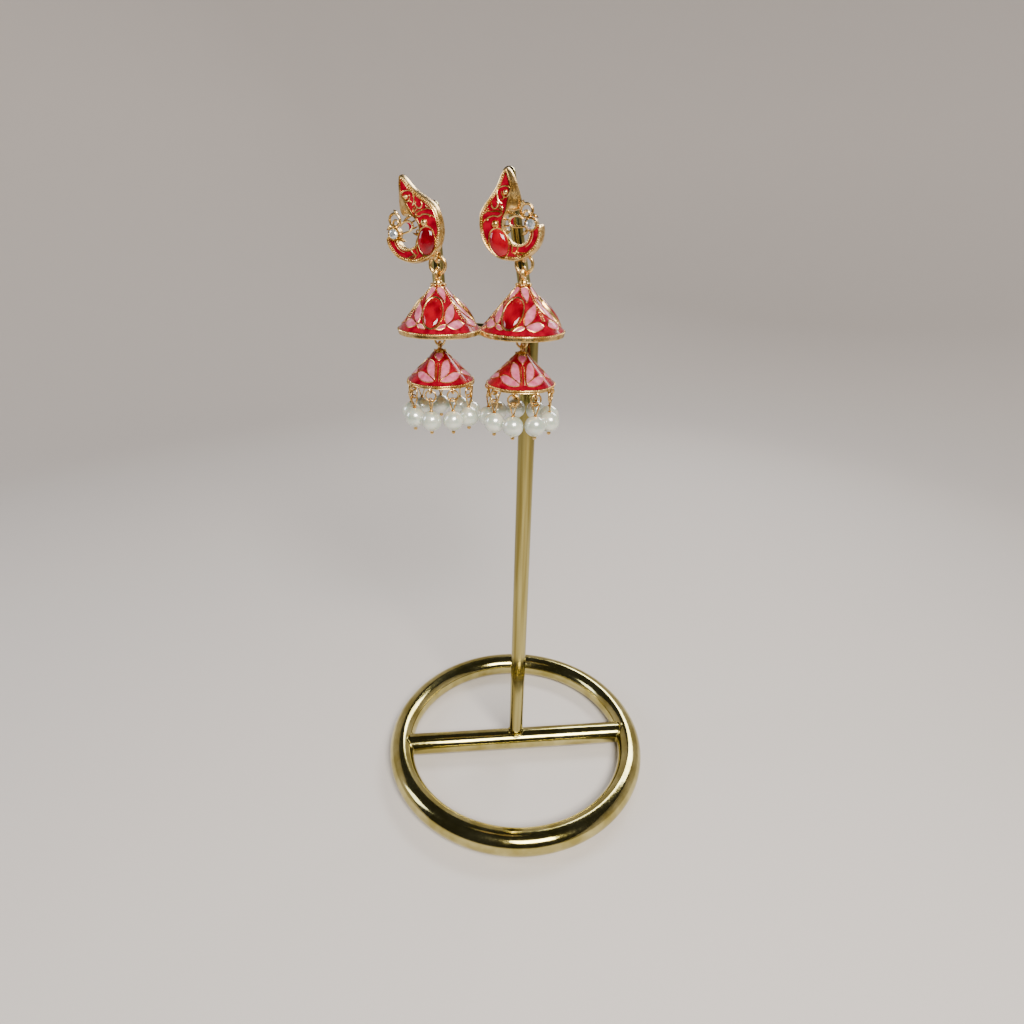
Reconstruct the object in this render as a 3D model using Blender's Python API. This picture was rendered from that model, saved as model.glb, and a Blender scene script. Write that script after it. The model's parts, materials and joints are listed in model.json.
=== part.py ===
# Pair of two-tier jhumka drop earrings on a metal display stand.
# Metres, +Z up. The stand rests on z = 0, and the earrings face -Y.

import math

import bmesh
import bpy
from mathutils import Matrix, Vector

MM = 0.001

# Clearance between neighbouring pieces, and the overlap of shapes soldered into one
GAP = 0.3 * MM
WELD = 0.25 * MM

# Stand: a ring of tube, a bar across it, and an upright that ends in a two-pronged fork
BASE_RADIUS = 40.0 * MM
BASE_TUBE = 3.95 * MM
BAR_RADIUS = 3.5 * MM
BAR_TURN = math.radians(22.7)
ROD_RADIUS = 2.35 * MM
POST_HEIGHT = 172.4 * MM
POST_RADIUS = 0.45 * MM
FORK_RADIUS = 1.6 * MM
YOKE_DROP = 28.0 * MM
YOKE_HEIGHT = POST_HEIGHT - YOKE_DROP
# Each prong crosses its ear post at its own x, and leans out to the left as it rises
LEFT_PRONG_RISE = 1.9 * MM
RIGHT_PRONG_RISE = 9.2 * MM
LEFT_PRONG_X = -25.7 * MM
RIGHT_PRONG_X = -4.95 * MM
LEFT_PRONG_LEAN = math.radians(3.3)
RIGHT_PRONG_LEAN = math.radians(10.6)

# Plate: an enamelled peacock plume that curls into a bowl. Its ear post sets its height
PLATE_WIDTH = 14.4 * MM
PLATE_HEIGHT = 18.2 * MM
PLATE_THICK = 1.8 * MM
PLATE_SETBACK = 1.25 * MM
RIGHT_PLATE_X = -0.6 * MM
RIGHT_PLATE_Z = POST_HEIGHT - 1.1 * MM
LEFT_PLATE_X = -23.4 * MM
LEFT_PLATE_Z = POST_HEIGHT - 2.3 * MM
LEFT_PLATE_LEAN = math.radians(20)

# Where each drop hangs: in front of the stand, from the eyelet behind the foot of its plate
HANG_DEPTH = 14.0 * MM
LEFT_HANG_X = LEFT_PLATE_X + 4.5 * MM
RIGHT_HANG_X = RIGHT_PLATE_X + 2.5 * MM
LEFT_HANG_Z = LEFT_PLATE_Z - 0.5 * PLATE_HEIGHT + 1.5 * MM
RIGHT_HANG_Z = RIGHT_PLATE_Z - 0.5 * PLATE_HEIGHT + 1.3 * MM

# Stones and scrollwork on the plate
CABOCHON_LONG = 6.0 * MM
CABOCHON_WIDE = 4.2 * MM
CABOCHON_RISE = 1.1 * MM
STONE_RADIUS = 1.1 * MM
BEZEL_WALL = 0.3 * MM
SCROLL_WIRE = 0.24 * MM
CURL_WIRE = 0.36 * MM

# Links and the eyelets they pass through
TOP_LINK_RADIUS = 1.92 * MM
TOP_LINK_WIRE = 0.38 * MM
EYELET_WIRE = 0.45 * MM
MID_LINK_RADIUS = 1.25 * MM
MID_LINK_WIRE = 0.28 * MM
MID_EYELET_WIRE = 0.25 * MM

# Upper bell
UPPER_RADIUS = 9.8 * MM
UPPER_HEIGHT = 9.65 * MM
UPPER_NECK = 1.45 * MM
UPPER_BAND = 1.15 * MM
UPPER_FINIAL = 1.2 * MM
BELL_WALL = 0.9 * MM
STEM_RADIUS = 0.5 * MM
UPPER_STONES = 3
UPPER_STONE_LONG = 8.2 * MM
UPPER_STONE_WIDE = 4.6 * MM
UPPER_STONE_RISE = 0.9 * MM
UPPER_STONE_DOWN = 0.56
LEFT_STONE_TURN = math.radians(10)
RIGHT_STONE_TURN = math.radians(-5)

# Lower bell
LOWER_RADIUS = 8.15 * MM
LOWER_HEIGHT = 6.9 * MM
LOWER_NECK = 1.2 * MM
LOWER_BAND = 0.8 * MM
LOWER_FINIAL = 0.5 * MM

# How far under a bell's rim line the eyelets inside it or under it have their middle
STEM_EYELET_DROP = UPPER_BAND + 0.4 * MM

# Pearl fringe
PEARLS = 9
PEARL_RADIUS = 2.5 * MM
FRINGE_RADIUS = 7.75 * MM
FRINGE_TURN = math.radians(4)
JUMP_RADIUS = 1.33 * MM
JUMP_WIRE = 0.22 * MM
FRINGE_WIRE = 0.21 * MM
STEM_LENGTH = 1.7 * MM
TAIL_BALL = 0.5 * MM
RIM_EYELET_DROP = LOWER_BAND + FRINGE_WIRE + 0.1 * MM

# How finely round things are meshed
RING_SIDES = 40
TUBE_SIDES = 10
BELL_SIDES = 24
BEAD_SIDES = 10
BEAD_ROWS = 6
LINK_SIDES = 10
WIRE_SIDES = 5
ROD_SIDES = 12
POST_SIDES = 8

# Plume outline as shares of half the plate's width and height, from the tip down the outer side,
# round the bowl to the stone, back along the bowl's inner edge and up the gold flank.
# The third and fourth columns are where the same point lies on the front face.
OUTLINE = (
    (-0.20, 0.98, -0.19, 0.94),
    (-0.32, 0.84, -0.30, 0.83),
    (-0.46, 0.60, -0.43, 0.60),
    (-0.66, 0.40, -0.62, 0.39),
    (-0.87, 0.19, -0.83, 0.18),
    (-0.98, 0.02, -0.94, 0.02),
    (-1.00, -0.14, -0.96, -0.14),
    (-0.99, -0.30, -0.95, -0.30),
    (-0.93, -0.51, -0.89, -0.50),
    (-0.79, -0.71, -0.75, -0.69),
    (-0.58, -0.87, -0.56, -0.84),
    (-0.32, -0.97, -0.31, -0.94),
    (-0.02, -1.00, -0.02, -0.97),
    (0.28, -0.99, 0.27, -0.96),
    (0.54, -0.91, 0.52, -0.88),
    (0.77, -0.77, 0.74, -0.75),
    (0.92, -0.61, 0.88, -0.60),
    (0.99, -0.44, 0.95, -0.44),
    (1.00, -0.29, 0.96, -0.29),
    (0.93, -0.17, 0.89, -0.19),
    (0.62, -0.22, 0.62, -0.24),
    (0.60, -0.38, 0.61, -0.40),
    (0.53, -0.51, 0.55, -0.53),
    (0.40, -0.59, 0.41, -0.61),
    (0.24, -0.62, 0.24, -0.64),
    (0.08, -0.59, 0.07, -0.61),
    (-0.04, -0.52, -0.06, -0.53),
    (-0.14, -0.41, -0.16, -0.41),
    (-0.21, -0.28, -0.23, -0.28),
    (-0.22, -0.16, -0.24, -0.16),
    (-0.18, -0.04, -0.20, -0.04),
    (-0.02, 0.06, -0.13, 0.07),
    (0.22, 0.14, -0.09, 0.20),
    (0.27, 0.27, -0.06, 0.32),
    (0.23, 0.42, -0.03, 0.43),
    (0.15, 0.60, 0.00, 0.58),
    (0.04, 0.80, -0.06, 0.76),
    (-0.08, 0.94, -0.13, 0.89),
)
STONE_PLACE = (0.63, -0.18)
# Curls above the stone: place from its middle and radius in stone radii, depth in plate thicknesses
CURLS = (
    (-1.10, 2.20, 1.15, 0.58),
    (-1.00, 1.62, 0.59, 0.66),
)
# A horseshoe of wire beside the stone, both ends in its bezel: places from its middle in stone radii
HORSESHOE = (
    (-1.00, 0.12),
    (-1.90, 0.50),
    (-2.85, 0.80),
    (-4.00, 0.70),
    (-4.45, 0.15),
    (-4.00, -0.42),
    (-2.76, -0.60),
    (-1.00, -0.50),
)
HORSESHOE_DEPTH = 0.62
CABOCHON_PLACE = (-0.34, -0.60)
CABOCHON_LEAN = math.radians(24)
# Raised scrolls on the plume, each a short run of places as shares of the half sizes
SCROLLS = (
    ((-0.30, 0.62), (-0.14, 0.62), (-0.10, 0.52), (-0.20, 0.46), (-0.31, 0.40), (-0.24, 0.30)),
    ((-0.70, 0.16), (-0.56, 0.24), (-0.42, 0.18), (-0.34, 0.06), (-0.44, -0.02)),
)


def clear_scene():
    for thing in list(bpy.data.objects):
        bpy.data.objects.remove(thing, do_unlink=True)


def metal_or_glass(name, colour, roughness, metallic):
    material = bpy.data.materials.new(name)
    material.use_nodes = True
    shader = material.node_tree.nodes["Principled BSDF"]
    shader.inputs["Base Color"].default_value = (*colour, 1.0)
    shader.inputs["Roughness"].default_value = roughness
    shader.inputs["Metallic"].default_value = metallic
    return material


def mesh_from(name, points, faces):
    mesh = bpy.data.meshes.new(name)
    mesh.from_pydata([tuple(p) for p in points], [], faces)
    work = bmesh.new()
    work.from_mesh(mesh)
    bmesh.ops.triangulate(work, faces=work.faces)
    bmesh.ops.recalc_face_normals(work, faces=work.faces)
    work.to_mesh(mesh)
    work.free()
    return mesh


def turned(name, profile, sides):
    """Turns (radius, height) points about Z. A point on the axis becomes one vertex."""
    points = []
    rows = []
    for radius, height in profile:
        if radius < 1e-9:
            rows.append([len(points)] * sides)
            points.append((0.0, 0.0, height))
            continue
        rows.append(list(range(len(points), len(points) + sides)))
        for i in range(sides):
            angle = 2 * math.pi * (i + 0.5) / sides
            points.append((radius * math.sin(angle), -radius * math.cos(angle), height))
    faces = []
    for upper, lower in zip(rows, rows[1:]):
        for i in range(sides):
            j = (i + 1) % sides
            corners = [upper[i], upper[j], lower[j], lower[i]]
            corners = [c for n, c in enumerate(corners) if c not in corners[:n]]
            if len(corners) > 2:
                faces.append(corners)
    return mesh_from(name, points, faces)


def ball_profile(radius, rows, centre=0.0):
    steps = [math.pi * i / rows for i in range(rows + 1)]
    return [(radius * math.sin(a), centre + radius * math.cos(a)) for a in steps]


def hoop(name, radius, wire, sides, wire_sides, flat=False):
    """A ring about Z. The flats of its polygon lie at radius, so a wire through it stays central.
    With flat, the wire's section has a flat below as well, at its full depth."""
    reach = radius / math.cos(math.pi / sides)
    section = wire / math.cos(math.pi / wire_sides) if flat else wire
    points = []
    for i in range(sides):
        angle = 2 * math.pi * (i + 0.5) / sides
        for j in range(wire_sides):
            turn = 2 * math.pi * (j + 0.5) / wire_sides - math.pi / 2 if flat else 2 * math.pi * j / wire_sides
            out = reach + section * math.cos(turn)
            points.append((out * math.cos(angle), out * math.sin(angle), section * math.sin(turn)))
    faces = []
    for i in range(sides):
        for j in range(wire_sides):
            a = i * wire_sides + j
            b = i * wire_sides + (j + 1) % wire_sides
            c = (i + 1) % sides * wire_sides + (j + 1) % wire_sides
            d = (i + 1) % sides * wire_sides + j
            faces.append((a, b, c, d))
    return mesh_from(name, points, faces)


def capsule(name, radius, start, end, sides):
    """A round bar with domed ends, from start to end."""
    start = Vector(start)
    along = Vector(end) - start
    dome = [(radius * math.sin(a), radius * (1 - math.cos(a))) for a in (0, math.pi / 4, math.pi / 2)]
    low = [(r, h - radius) for r, h in dome]
    high = [(r, along.length + radius - h) for r, h in reversed(dome)]
    mesh = turned(name, low + high, sides)
    mesh.transform(Matrix.Translation(start) @ along.to_track_quat("Z", "Y").to_matrix().to_4x4())
    return mesh


def bar(name, radius, start, end, sides):
    """A round bar with flat ends, from start to end."""
    start = Vector(start)
    along = Vector(end) - start
    ends = [(0.0, 0.0), (radius, 0.0), (radius, along.length), (0.0, along.length)]
    mesh = turned(name, ends, sides)
    mesh.transform(Matrix.Translation(start) @ along.to_track_quat("Z", "Y").to_matrix().to_4x4())
    return mesh


def wire_path(name, path, wire, sides):
    """A round wire that runs through the points of path, with closed ends."""
    path = [Vector(p) for p in path]
    points = []
    for i, here in enumerate(path):
        ahead = (path[min(i + 1, len(path) - 1)] - path[max(i - 1, 0)]).normalized()
        side = ahead.cross(Vector((0, 1, 0))).normalized()
        for j in range(sides):
            turn = 2 * math.pi * (j + 0.5) / sides
            points.append(here + wire * (math.cos(turn) * side + math.sin(turn) * Vector((0, 1, 0))))
    faces = [list(range(sides)), list(range(len(points) - sides, len(points)))]
    for i in range(len(path) - 1):
        for j in range(sides):
            k = (j + 1) % sides
            faces.append((i * sides + j, i * sides + k, (i + 1) * sides + k, (i + 1) * sides + j))
    return mesh_from(name, points, faces)


def combined(name, base, others, operation="UNION", solver="EXACT"):
    """Joins meshes to base, or cuts them from it, and returns one mesh."""
    body = bpy.data.objects.new(name, base)
    bpy.context.scene.collection.objects.link(body)
    helpers = []
    for other in others:
        helper = bpy.data.objects.new(name + "_tool", other)
        bpy.context.scene.collection.objects.link(helper)
        helpers.append(helper)
        step = body.modifiers.new("Boolean", "BOOLEAN")
        step.operation = operation
        step.solver = solver
        step.object = helper
    bpy.context.view_layer.update()
    graph = bpy.context.evaluated_depsgraph_get()
    result = bpy.data.meshes.new_from_object(body.evaluated_get(graph))
    result.name = name
    for thing in [body] + helpers:
        bpy.data.objects.remove(thing, do_unlink=True)
    return result


def placed(mesh, name, material, parent=None, location=(0, 0, 0), turn=(0, 0, 0)):
    thing = bpy.data.objects.new(name, mesh)
    bpy.context.scene.collection.objects.link(thing)
    if not mesh.materials:
        mesh.materials.append(material)
    mesh.shade_smooth()
    mesh.set_sharp_from_angle(angle=math.radians(40))
    thing.parent = parent
    thing.location = location
    thing.rotation_euler = turn
    return thing


def hinge_empty(name, location, parent=None):
    empty = bpy.data.objects.new(name, None)
    bpy.context.scene.collection.objects.link(empty)
    empty.parent = parent
    empty.location = location
    return empty


def stood_hoop(name, radius, wire, across, height):
    """A hoop that stands up: its plane crosses X if across is X, and faces the front if it is Y."""
    mesh = hoop(name, radius, wire, LINK_SIDES, WIRE_SIDES)
    turn = Matrix.Rotation(math.pi / 2, 4, "Y") if across == "X" else Matrix.Rotation(math.pi / 2, 4, "X")
    mesh.transform(Matrix.Translation((0, 0, height)) @ turn)
    return mesh


def prong(name, x, lean, rise):
    """Where a prong of the fork stands on the yoke, and its bar, which crosses the ear post at x."""
    post = Vector((x, 0, POST_HEIGHT))
    outward = Vector((-math.tan(lean), 0, 1))
    foot = post - YOKE_DROP * outward
    tip = post + (rise - FORK_RADIUS) * outward
    return foot, capsule(name, FORK_RADIUS, foot, tip, TUBE_SIDES)


def make_stand(gold):
    ring = hoop("base_ring", BASE_RADIUS, BASE_TUBE, RING_SIDES, TUBE_SIDES, flat=True)
    placed(ring, "base_ring", gold, location=(0, 0, BASE_TUBE))

    along = Vector((math.cos(BAR_TURN), math.sin(BAR_TURN), 0))
    across = bar("base_crossbar", BAR_RADIUS, -BASE_RADIUS * along, BASE_RADIUS * along, ROD_SIDES)
    hollow = hoop("ring_clearance", BASE_RADIUS, BASE_TUBE + GAP, RING_SIDES, TUBE_SIDES, flat=True)
    across = combined("base_crossbar", across, [hollow], "DIFFERENCE")
    placed(across, "base_crossbar", gold, location=(0, 0, BASE_TUBE))

    foot = Vector((0, 0, BASE_TUBE))
    rod_top = Vector((0, 0, YOKE_HEIGHT))
    left_foot, left_prong = prong("left_prong", LEFT_PRONG_X, LEFT_PRONG_LEAN, LEFT_PRONG_RISE)
    right_foot, right_prong = prong("right_prong", RIGHT_PRONG_X, RIGHT_PRONG_LEAN, RIGHT_PRONG_RISE)
    rod = capsule("upright", ROD_RADIUS, foot, rod_top, ROD_SIDES)
    yoke = capsule("yoke", FORK_RADIUS, left_foot, right_foot, TUBE_SIDES)
    upright = combined("upright", rod, [yoke, left_prong, right_prong], solver="MANIFOLD")
    cutters = [bar("bar_clearance", BAR_RADIUS + GAP, -BASE_RADIUS * along, BASE_RADIUS * along, ROD_SIDES)]
    cutters[0].transform(Matrix.Translation(foot))
    for x in (LEFT_PRONG_X, RIGHT_PRONG_X):
        back = Vector((x, 2 * FORK_RADIUS, POST_HEIGHT))
        front = Vector((x, -2 * FORK_RADIUS, POST_HEIGHT))
        cutters.append(bar("post_hole", POST_RADIUS + GAP, back, front, POST_SIDES))
    upright = combined("upright", upright, cutters, "DIFFERENCE", "MANIFOLD")
    placed(upright, "upright", gold)


def plate_mesh(name, side):
    """The plume, in its own frame: x across, z up, its back on y = 0. side is 1 or, mirrored, -1."""
    half_x = PLATE_WIDTH / 2
    half_z = PLATE_HEIGHT / 2
    front = -PLATE_THICK
    count = len(OUTLINE)
    points = [Vector((side * bx * half_x, 0, bz * half_z)) for bx, bz, fx, fz in OUTLINE]
    points += [Vector((side * fx * half_x, front, fz * half_z)) for bx, bz, fx, fz in OUTLINE]
    faces = [list(range(count)), list(range(count, 2 * count))]
    faces += [(i, (i + 1) % count, (i + 1) % count + count, i + count) for i in range(count)]
    body = mesh_from(name, points, faces)
    extras = []
    stone_x = side * STONE_PLACE[0] * half_x
    stone_z = STONE_PLACE[1] * half_z
    for x, z, size, depth in CURLS:
        curl = hoop("curl", size * STONE_RADIUS, CURL_WIRE, LINK_SIDES, WIRE_SIDES)
        place = Vector((stone_x + side * x * STONE_RADIUS, -depth * PLATE_THICK, stone_z + z * STONE_RADIUS))
        curl.transform(Matrix.Translation(place) @ Matrix.Rotation(math.pi / 2, 4, "X"))
        extras.append(curl)
    depth = -HORSESHOE_DEPTH * PLATE_THICK
    bend = [(stone_x + side * x * STONE_RADIUS, depth, stone_z + z * STONE_RADIUS) for x, z in HORSESHOE]
    extras.append(wire_path("horseshoe", bend, CURL_WIRE, WIRE_SIDES))
    extras.append(plate_cabochon(side, half_x, half_z, front))
    extras.append(cut_stone(side, half_x, half_z, front))
    for run in SCROLLS:
        path = [(side * x * half_x, front + 0.2 * SCROLL_WIRE, z * half_z) for x, z in run]
        extras.append(wire_path("scroll", path, SCROLL_WIRE, WIRE_SIDES))
    return combined(name, body, extras, solver="MANIFOLD")


def plate_cabochon(side, half_x, half_z, front):
    dome = turned("cabochon", ball_profile(1.0, BEAD_ROWS), BEAD_SIDES)
    size = Matrix.Diagonal((CABOCHON_WIDE / 2, CABOCHON_RISE, CABOCHON_LONG / 2, 1))
    lean = Matrix.Rotation(side * -CABOCHON_LEAN, 4, "Y")
    sunk = front + 0.1 * CABOCHON_RISE
    place = Vector((side * CABOCHON_PLACE[0] * half_x, sunk, CABOCHON_PLACE[1] * half_z))
    dome.transform(Matrix.Translation(place) @ lean @ size)
    return dome


def cut_stone(side, half_x, half_z, front):
    """A round stone with a table and eight crown facets, held in a tube bezel."""
    outer = STONE_RADIUS + BEZEL_WALL
    height = PLATE_THICK + 0.5 * STONE_RADIUS
    profile = [
        (0.0, 0.1 * PLATE_THICK),
        (outer, 0.1 * PLATE_THICK),
        (outer, height),
        (STONE_RADIUS, height),
        (0.55 * STONE_RADIUS, height + 0.4 * STONE_RADIUS),
        (0.0, height + 0.4 * STONE_RADIUS),
    ]
    stone = turned("stone", profile, 8)
    place = Vector((side * STONE_PLACE[0] * half_x, 0, STONE_PLACE[1] * half_z))
    stone.transform(Matrix.Translation(place) @ Matrix.Rotation(math.pi / 2, 4, "X"))
    return stone


def make_plate(name, side, centre_x, centre_z, lean, hang_x, hang_z, prong_x, gold):
    """The plate with its eyelet and its post, which reaches into the stand's prong.
    It is built about the point where its drops hang."""
    mesh = plate_mesh(name, side)
    pivot = Vector((0, 0, -0.27 * PLATE_HEIGHT / 2))
    leaned = Matrix.Translation(pivot) @ Matrix.Rotation(-lean, 4, "Y") @ Matrix.Translation(-pivot)
    centre = Vector((centre_x - hang_x, -PLATE_SETBACK, centre_z - hang_z))
    mesh.transform(Matrix.Translation(centre) @ leaned)
    eyelet_radius = TOP_LINK_WIRE + GAP + EYELET_WIRE
    eyelet = stood_hoop("eyelet", eyelet_radius, EYELET_WIRE, "X", 0.0)
    post_start = Vector((prong_x - hang_x, -PLATE_SETBACK - WELD, POST_HEIGHT - hang_z))
    post_end = Vector((prong_x - hang_x, HANG_DEPTH + FORK_RADIUS, POST_HEIGHT - hang_z))
    post = bar("post", POST_RADIUS, post_start, post_end, POST_SIDES)
    mesh = combined(name, mesh, [eyelet, post], solver="MANIFOLD")
    placed(mesh, name, gold, location=(hang_x, -HANG_DEPTH, hang_z))


def bell_profile(radius, height, neck, band, finial, stem=None):
    """A hollow cone from its finial down the outside, round the rim and up inside.
    With stem, a wire of the same casting runs down the middle to that height."""
    slope = math.hypot(radius - neck, height)
    wall = BELL_WALL * slope / height
    fall = (radius - neck) / height
    crown = height - 1.3 * BELL_WALL
    inner = radius - wall
    outside = [
        (0.0, height + finial),
        (0.62 * neck, height + finial),
        (1.2 * neck, height + 0.45 * finial),
        (neck, height),
        (radius, 0.0),
        (radius, -0.45 * band),
        (radius - 0.3 * band, -band),
    ]
    inside = [
        (inner, -band),
        (inner - 0.05 * wall, 0.0),
        (inner - fall * crown, crown),
    ]
    if stem is None:
        return outside + inside + [(0.0, crown)]
    return outside + inside + [(STEM_RADIUS, crown), (STEM_RADIUS, stem), (0.0, stem)]


def upper_bell_mesh(link_height, stem_eyelet, stone_turn):
    """The upper bell, its rim line on z = 0. link_height is where the top link's wire passes,
    and stem_eyelet where the middle link's does. stone_turn is the first stone's place round the bell."""
    mid_radius = MID_LINK_WIRE + GAP + MID_EYELET_WIRE
    stem_end = stem_eyelet + mid_radius
    profile = bell_profile(
        UPPER_RADIUS, UPPER_HEIGHT, UPPER_NECK, UPPER_BAND, UPPER_FINIAL, stem_end
    )
    bell = turned("upper_bell", profile, BELL_SIDES)
    eyelet_radius = TOP_LINK_WIRE + GAP + EYELET_WIRE
    extras = [
        stood_hoop("top_eyelet", eyelet_radius, EYELET_WIRE, "X", link_height),
        stood_hoop("stem_eyelet", mid_radius, MID_EYELET_WIRE, "X", stem_eyelet),
    ]
    slope = math.atan2(UPPER_HEIGHT, UPPER_RADIUS - UPPER_NECK)
    at_radius = UPPER_NECK + UPPER_STONE_DOWN * (UPPER_RADIUS - UPPER_NECK)
    at_height = (1 - UPPER_STONE_DOWN) * UPPER_HEIGHT
    for i in range(UPPER_STONES):
        dome = turned("bell_cabochon", ball_profile(1.0, BEAD_ROWS), BEAD_SIDES)
        size = Matrix.Diagonal((UPPER_STONE_WIDE / 2, UPPER_STONE_RISE, UPPER_STONE_LONG / 2, 1))
        tip = Matrix.Rotation(slope - math.pi / 2, 4, "X")
        out = Matrix.Translation((0, -at_radius, at_height))
        around = Matrix.Rotation(stone_turn + 2 * math.pi * i / UPPER_STONES, 4, "Z")
        dome.transform(around @ out @ tip @ size)
        extras.append(dome)
    return combined("upper_bell", bell, extras)


def lower_bell_mesh(link_height, ring_height):
    """The lower bell, its rim line on z = 0, with an eyelet for each pearl under its rim."""
    profile = bell_profile(LOWER_RADIUS, LOWER_HEIGHT, LOWER_NECK, LOWER_BAND, LOWER_FINIAL)
    bell = turned("lower_bell", profile, BELL_SIDES)
    mid_radius = MID_LINK_WIRE + GAP + MID_EYELET_WIRE
    extras = [stood_hoop("top_eyelet", mid_radius, MID_EYELET_WIRE, "X", link_height)]
    for i in range(PEARLS):
        eyelet = stood_hoop("rim_eyelet", fringe_eye(), FRINGE_WIRE, "X", ring_height)
        eyelet.transform(fringe_place(i))
        extras.append(eyelet)
    return combined("lower_bell", bell, extras)


def fringe_eye():
    return JUMP_WIRE + GAP + FRINGE_WIRE


def fringe_angle(i):
    return FRINGE_TURN + 2 * math.pi * i / PEARLS


def fringe_place(i):
    out = Matrix.Translation((0, -FRINGE_RADIUS, 0))
    return Matrix.Rotation(fringe_angle(i), 4, "Z") @ out


def pearl_drop_mesh():
    """A pearl on its eye pin, hung from z = 0, which is the middle of the eye."""
    eye = fringe_eye()
    neck_end = -(eye + STEM_LENGTH)
    pearl = neck_end - PEARL_RADIUS
    ball = pearl - PEARL_RADIUS - 0.7 * TAIL_BALL
    profile = [
        (0.0, -eye),
        (1.4 * FRINGE_WIRE, -eye),
        (1.4 * FRINGE_WIRE, neck_end - 0.02 * PEARL_RADIUS),
    ]
    profile += ball_profile(PEARL_RADIUS, BEAD_ROWS, pearl)[1:-1]
    profile += [(TAIL_BALL, ball), (0.0, ball - TAIL_BALL)]
    drop = turned("pearl_drop", profile, BEAD_SIDES)
    ring = stood_hoop("eye", eye, FRINGE_WIRE, "X", 0.0)
    return combined("pearl_drop", drop, [ring])


def make_drops(prefix, hang_x, hang_z, upper_bell, meshes, materials):
    """Everything that hangs from one plate: the upper bell on its link, and the lower bell on its own."""
    gold, enamel, pearl = materials
    hinge = hinge_empty(prefix + "_drop_hinge", (hang_x, -HANG_DEPTH, hang_z))
    link = placed(meshes["top_link"], prefix + "_top_link", gold, hinge)
    link.location = (0, 0, -TOP_LINK_RADIUS)
    upper_rim = upper_rim_below_hinge()
    placed(upper_bell, prefix + "_upper_bell", enamel, hinge, (0, 0, -upper_rim))

    lower_hinge = hinge_empty(
        prefix + "_lower_hinge", (0, 0, -upper_rim - STEM_EYELET_DROP), hinge
    )
    middle = placed(meshes["mid_link"], prefix + "_mid_link", gold, lower_hinge)
    middle.location = (0, 0, -MID_LINK_RADIUS)
    lower_rim = lower_rim_below_hinge()
    placed(meshes["lower_bell"], prefix + "_lower_bell", enamel, lower_hinge, (0, 0, -lower_rim))
    jump_top = -lower_rim - RIM_EYELET_DROP
    for i in range(PEARLS):
        angle = fringe_angle(i)
        x = FRINGE_RADIUS * math.sin(angle)
        y = -FRINGE_RADIUS * math.cos(angle)
        turn = (0, 0, angle)
        number = str(i + 1)
        ring_place = (x, y, jump_top - JUMP_RADIUS)
        placed(meshes["jump_ring"], prefix + "_jump_ring_" + number, gold, lower_hinge, ring_place, turn)
        drop_place = (x, y, jump_top - 2 * JUMP_RADIUS)
        placed(meshes["pearl_drop"], prefix + "_pearl_drop_" + number, pearl, lower_hinge, drop_place, turn)


def upper_eyelet_height():
    """The height of the top link's lower wire over the upper bell's rim line."""
    eyelet = TOP_LINK_WIRE + GAP + 2 * EYELET_WIRE
    return UPPER_HEIGHT + UPPER_FINIAL - WELD + eyelet


def upper_rim_below_hinge():
    return 2 * TOP_LINK_RADIUS + upper_eyelet_height()


def lower_eyelet_height():
    """The height of the middle link's lower wire over the lower bell's rim line."""
    eyelet = MID_LINK_WIRE + GAP + 2 * MID_EYELET_WIRE
    return LOWER_HEIGHT + LOWER_FINIAL - WELD + eyelet


def lower_rim_below_hinge():
    return 2 * MID_LINK_RADIUS + lower_eyelet_height()


def main():
    clear_scene()
    gold = metal_or_glass("polished_gold_plate", (0.83, 0.62, 0.28), 0.12, 1.0)
    enamel = metal_or_glass("red_enamel_on_gold", (0.62, 0.01, 0.015), 0.15, 0.0)
    pearl = metal_or_glass("glass_pearl", (0.80, 0.84, 0.74), 0.2, 0.0)
    make_stand(gold)
    make_plate(
        "left_plate", -1, LEFT_PLATE_X, LEFT_PLATE_Z, LEFT_PLATE_LEAN,
        LEFT_HANG_X, LEFT_HANG_Z, LEFT_PRONG_X, enamel,
    )
    make_plate(
        "right_plate", 1, RIGHT_PLATE_X, RIGHT_PLATE_Z, 0.0,
        RIGHT_HANG_X, RIGHT_HANG_Z, RIGHT_PRONG_X, enamel,
    )
    meshes = {
        "top_link": stood_hoop("top_link", TOP_LINK_RADIUS, TOP_LINK_WIRE, "Y", 0.0),
        "mid_link": stood_hoop("mid_link", MID_LINK_RADIUS, MID_LINK_WIRE, "Y", 0.0),
        "jump_ring": stood_hoop("jump_ring", JUMP_RADIUS, JUMP_WIRE, "Y", 0.0),
        "lower_bell": lower_bell_mesh(lower_eyelet_height(), -RIM_EYELET_DROP),
        "pearl_drop": pearl_drop_mesh(),
    }
    materials = (gold, enamel, pearl)
    for prefix, hang_x, hang_z, stone_turn in (
        ("left", LEFT_HANG_X, LEFT_HANG_Z, LEFT_STONE_TURN),
        ("right", RIGHT_HANG_X, RIGHT_HANG_Z, RIGHT_STONE_TURN),
    ):
        upper_bell = upper_bell_mesh(upper_eyelet_height(), -STEM_EYELET_DROP, stone_turn)
        make_drops(prefix, hang_x, hang_z, upper_bell, meshes, materials)


main()
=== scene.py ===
# %% [markdown]
# A pair of jhumka earrings on a counter stand.
# Each earring is a cast plume plate, two hollow bells and a fringe of glass pearls.
# The stand is a ring of plated tube with a bar, a rod and a hidden two-pronged top.
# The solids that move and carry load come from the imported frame, and this lesson dresses them.

# %% Load the fixed frame
import json
import math
import random

import bmesh
import bpy
import numpy as np
from mathutils import Matrix, Vector
from mathutils.geometry import delaunay_2d_cdt


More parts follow.
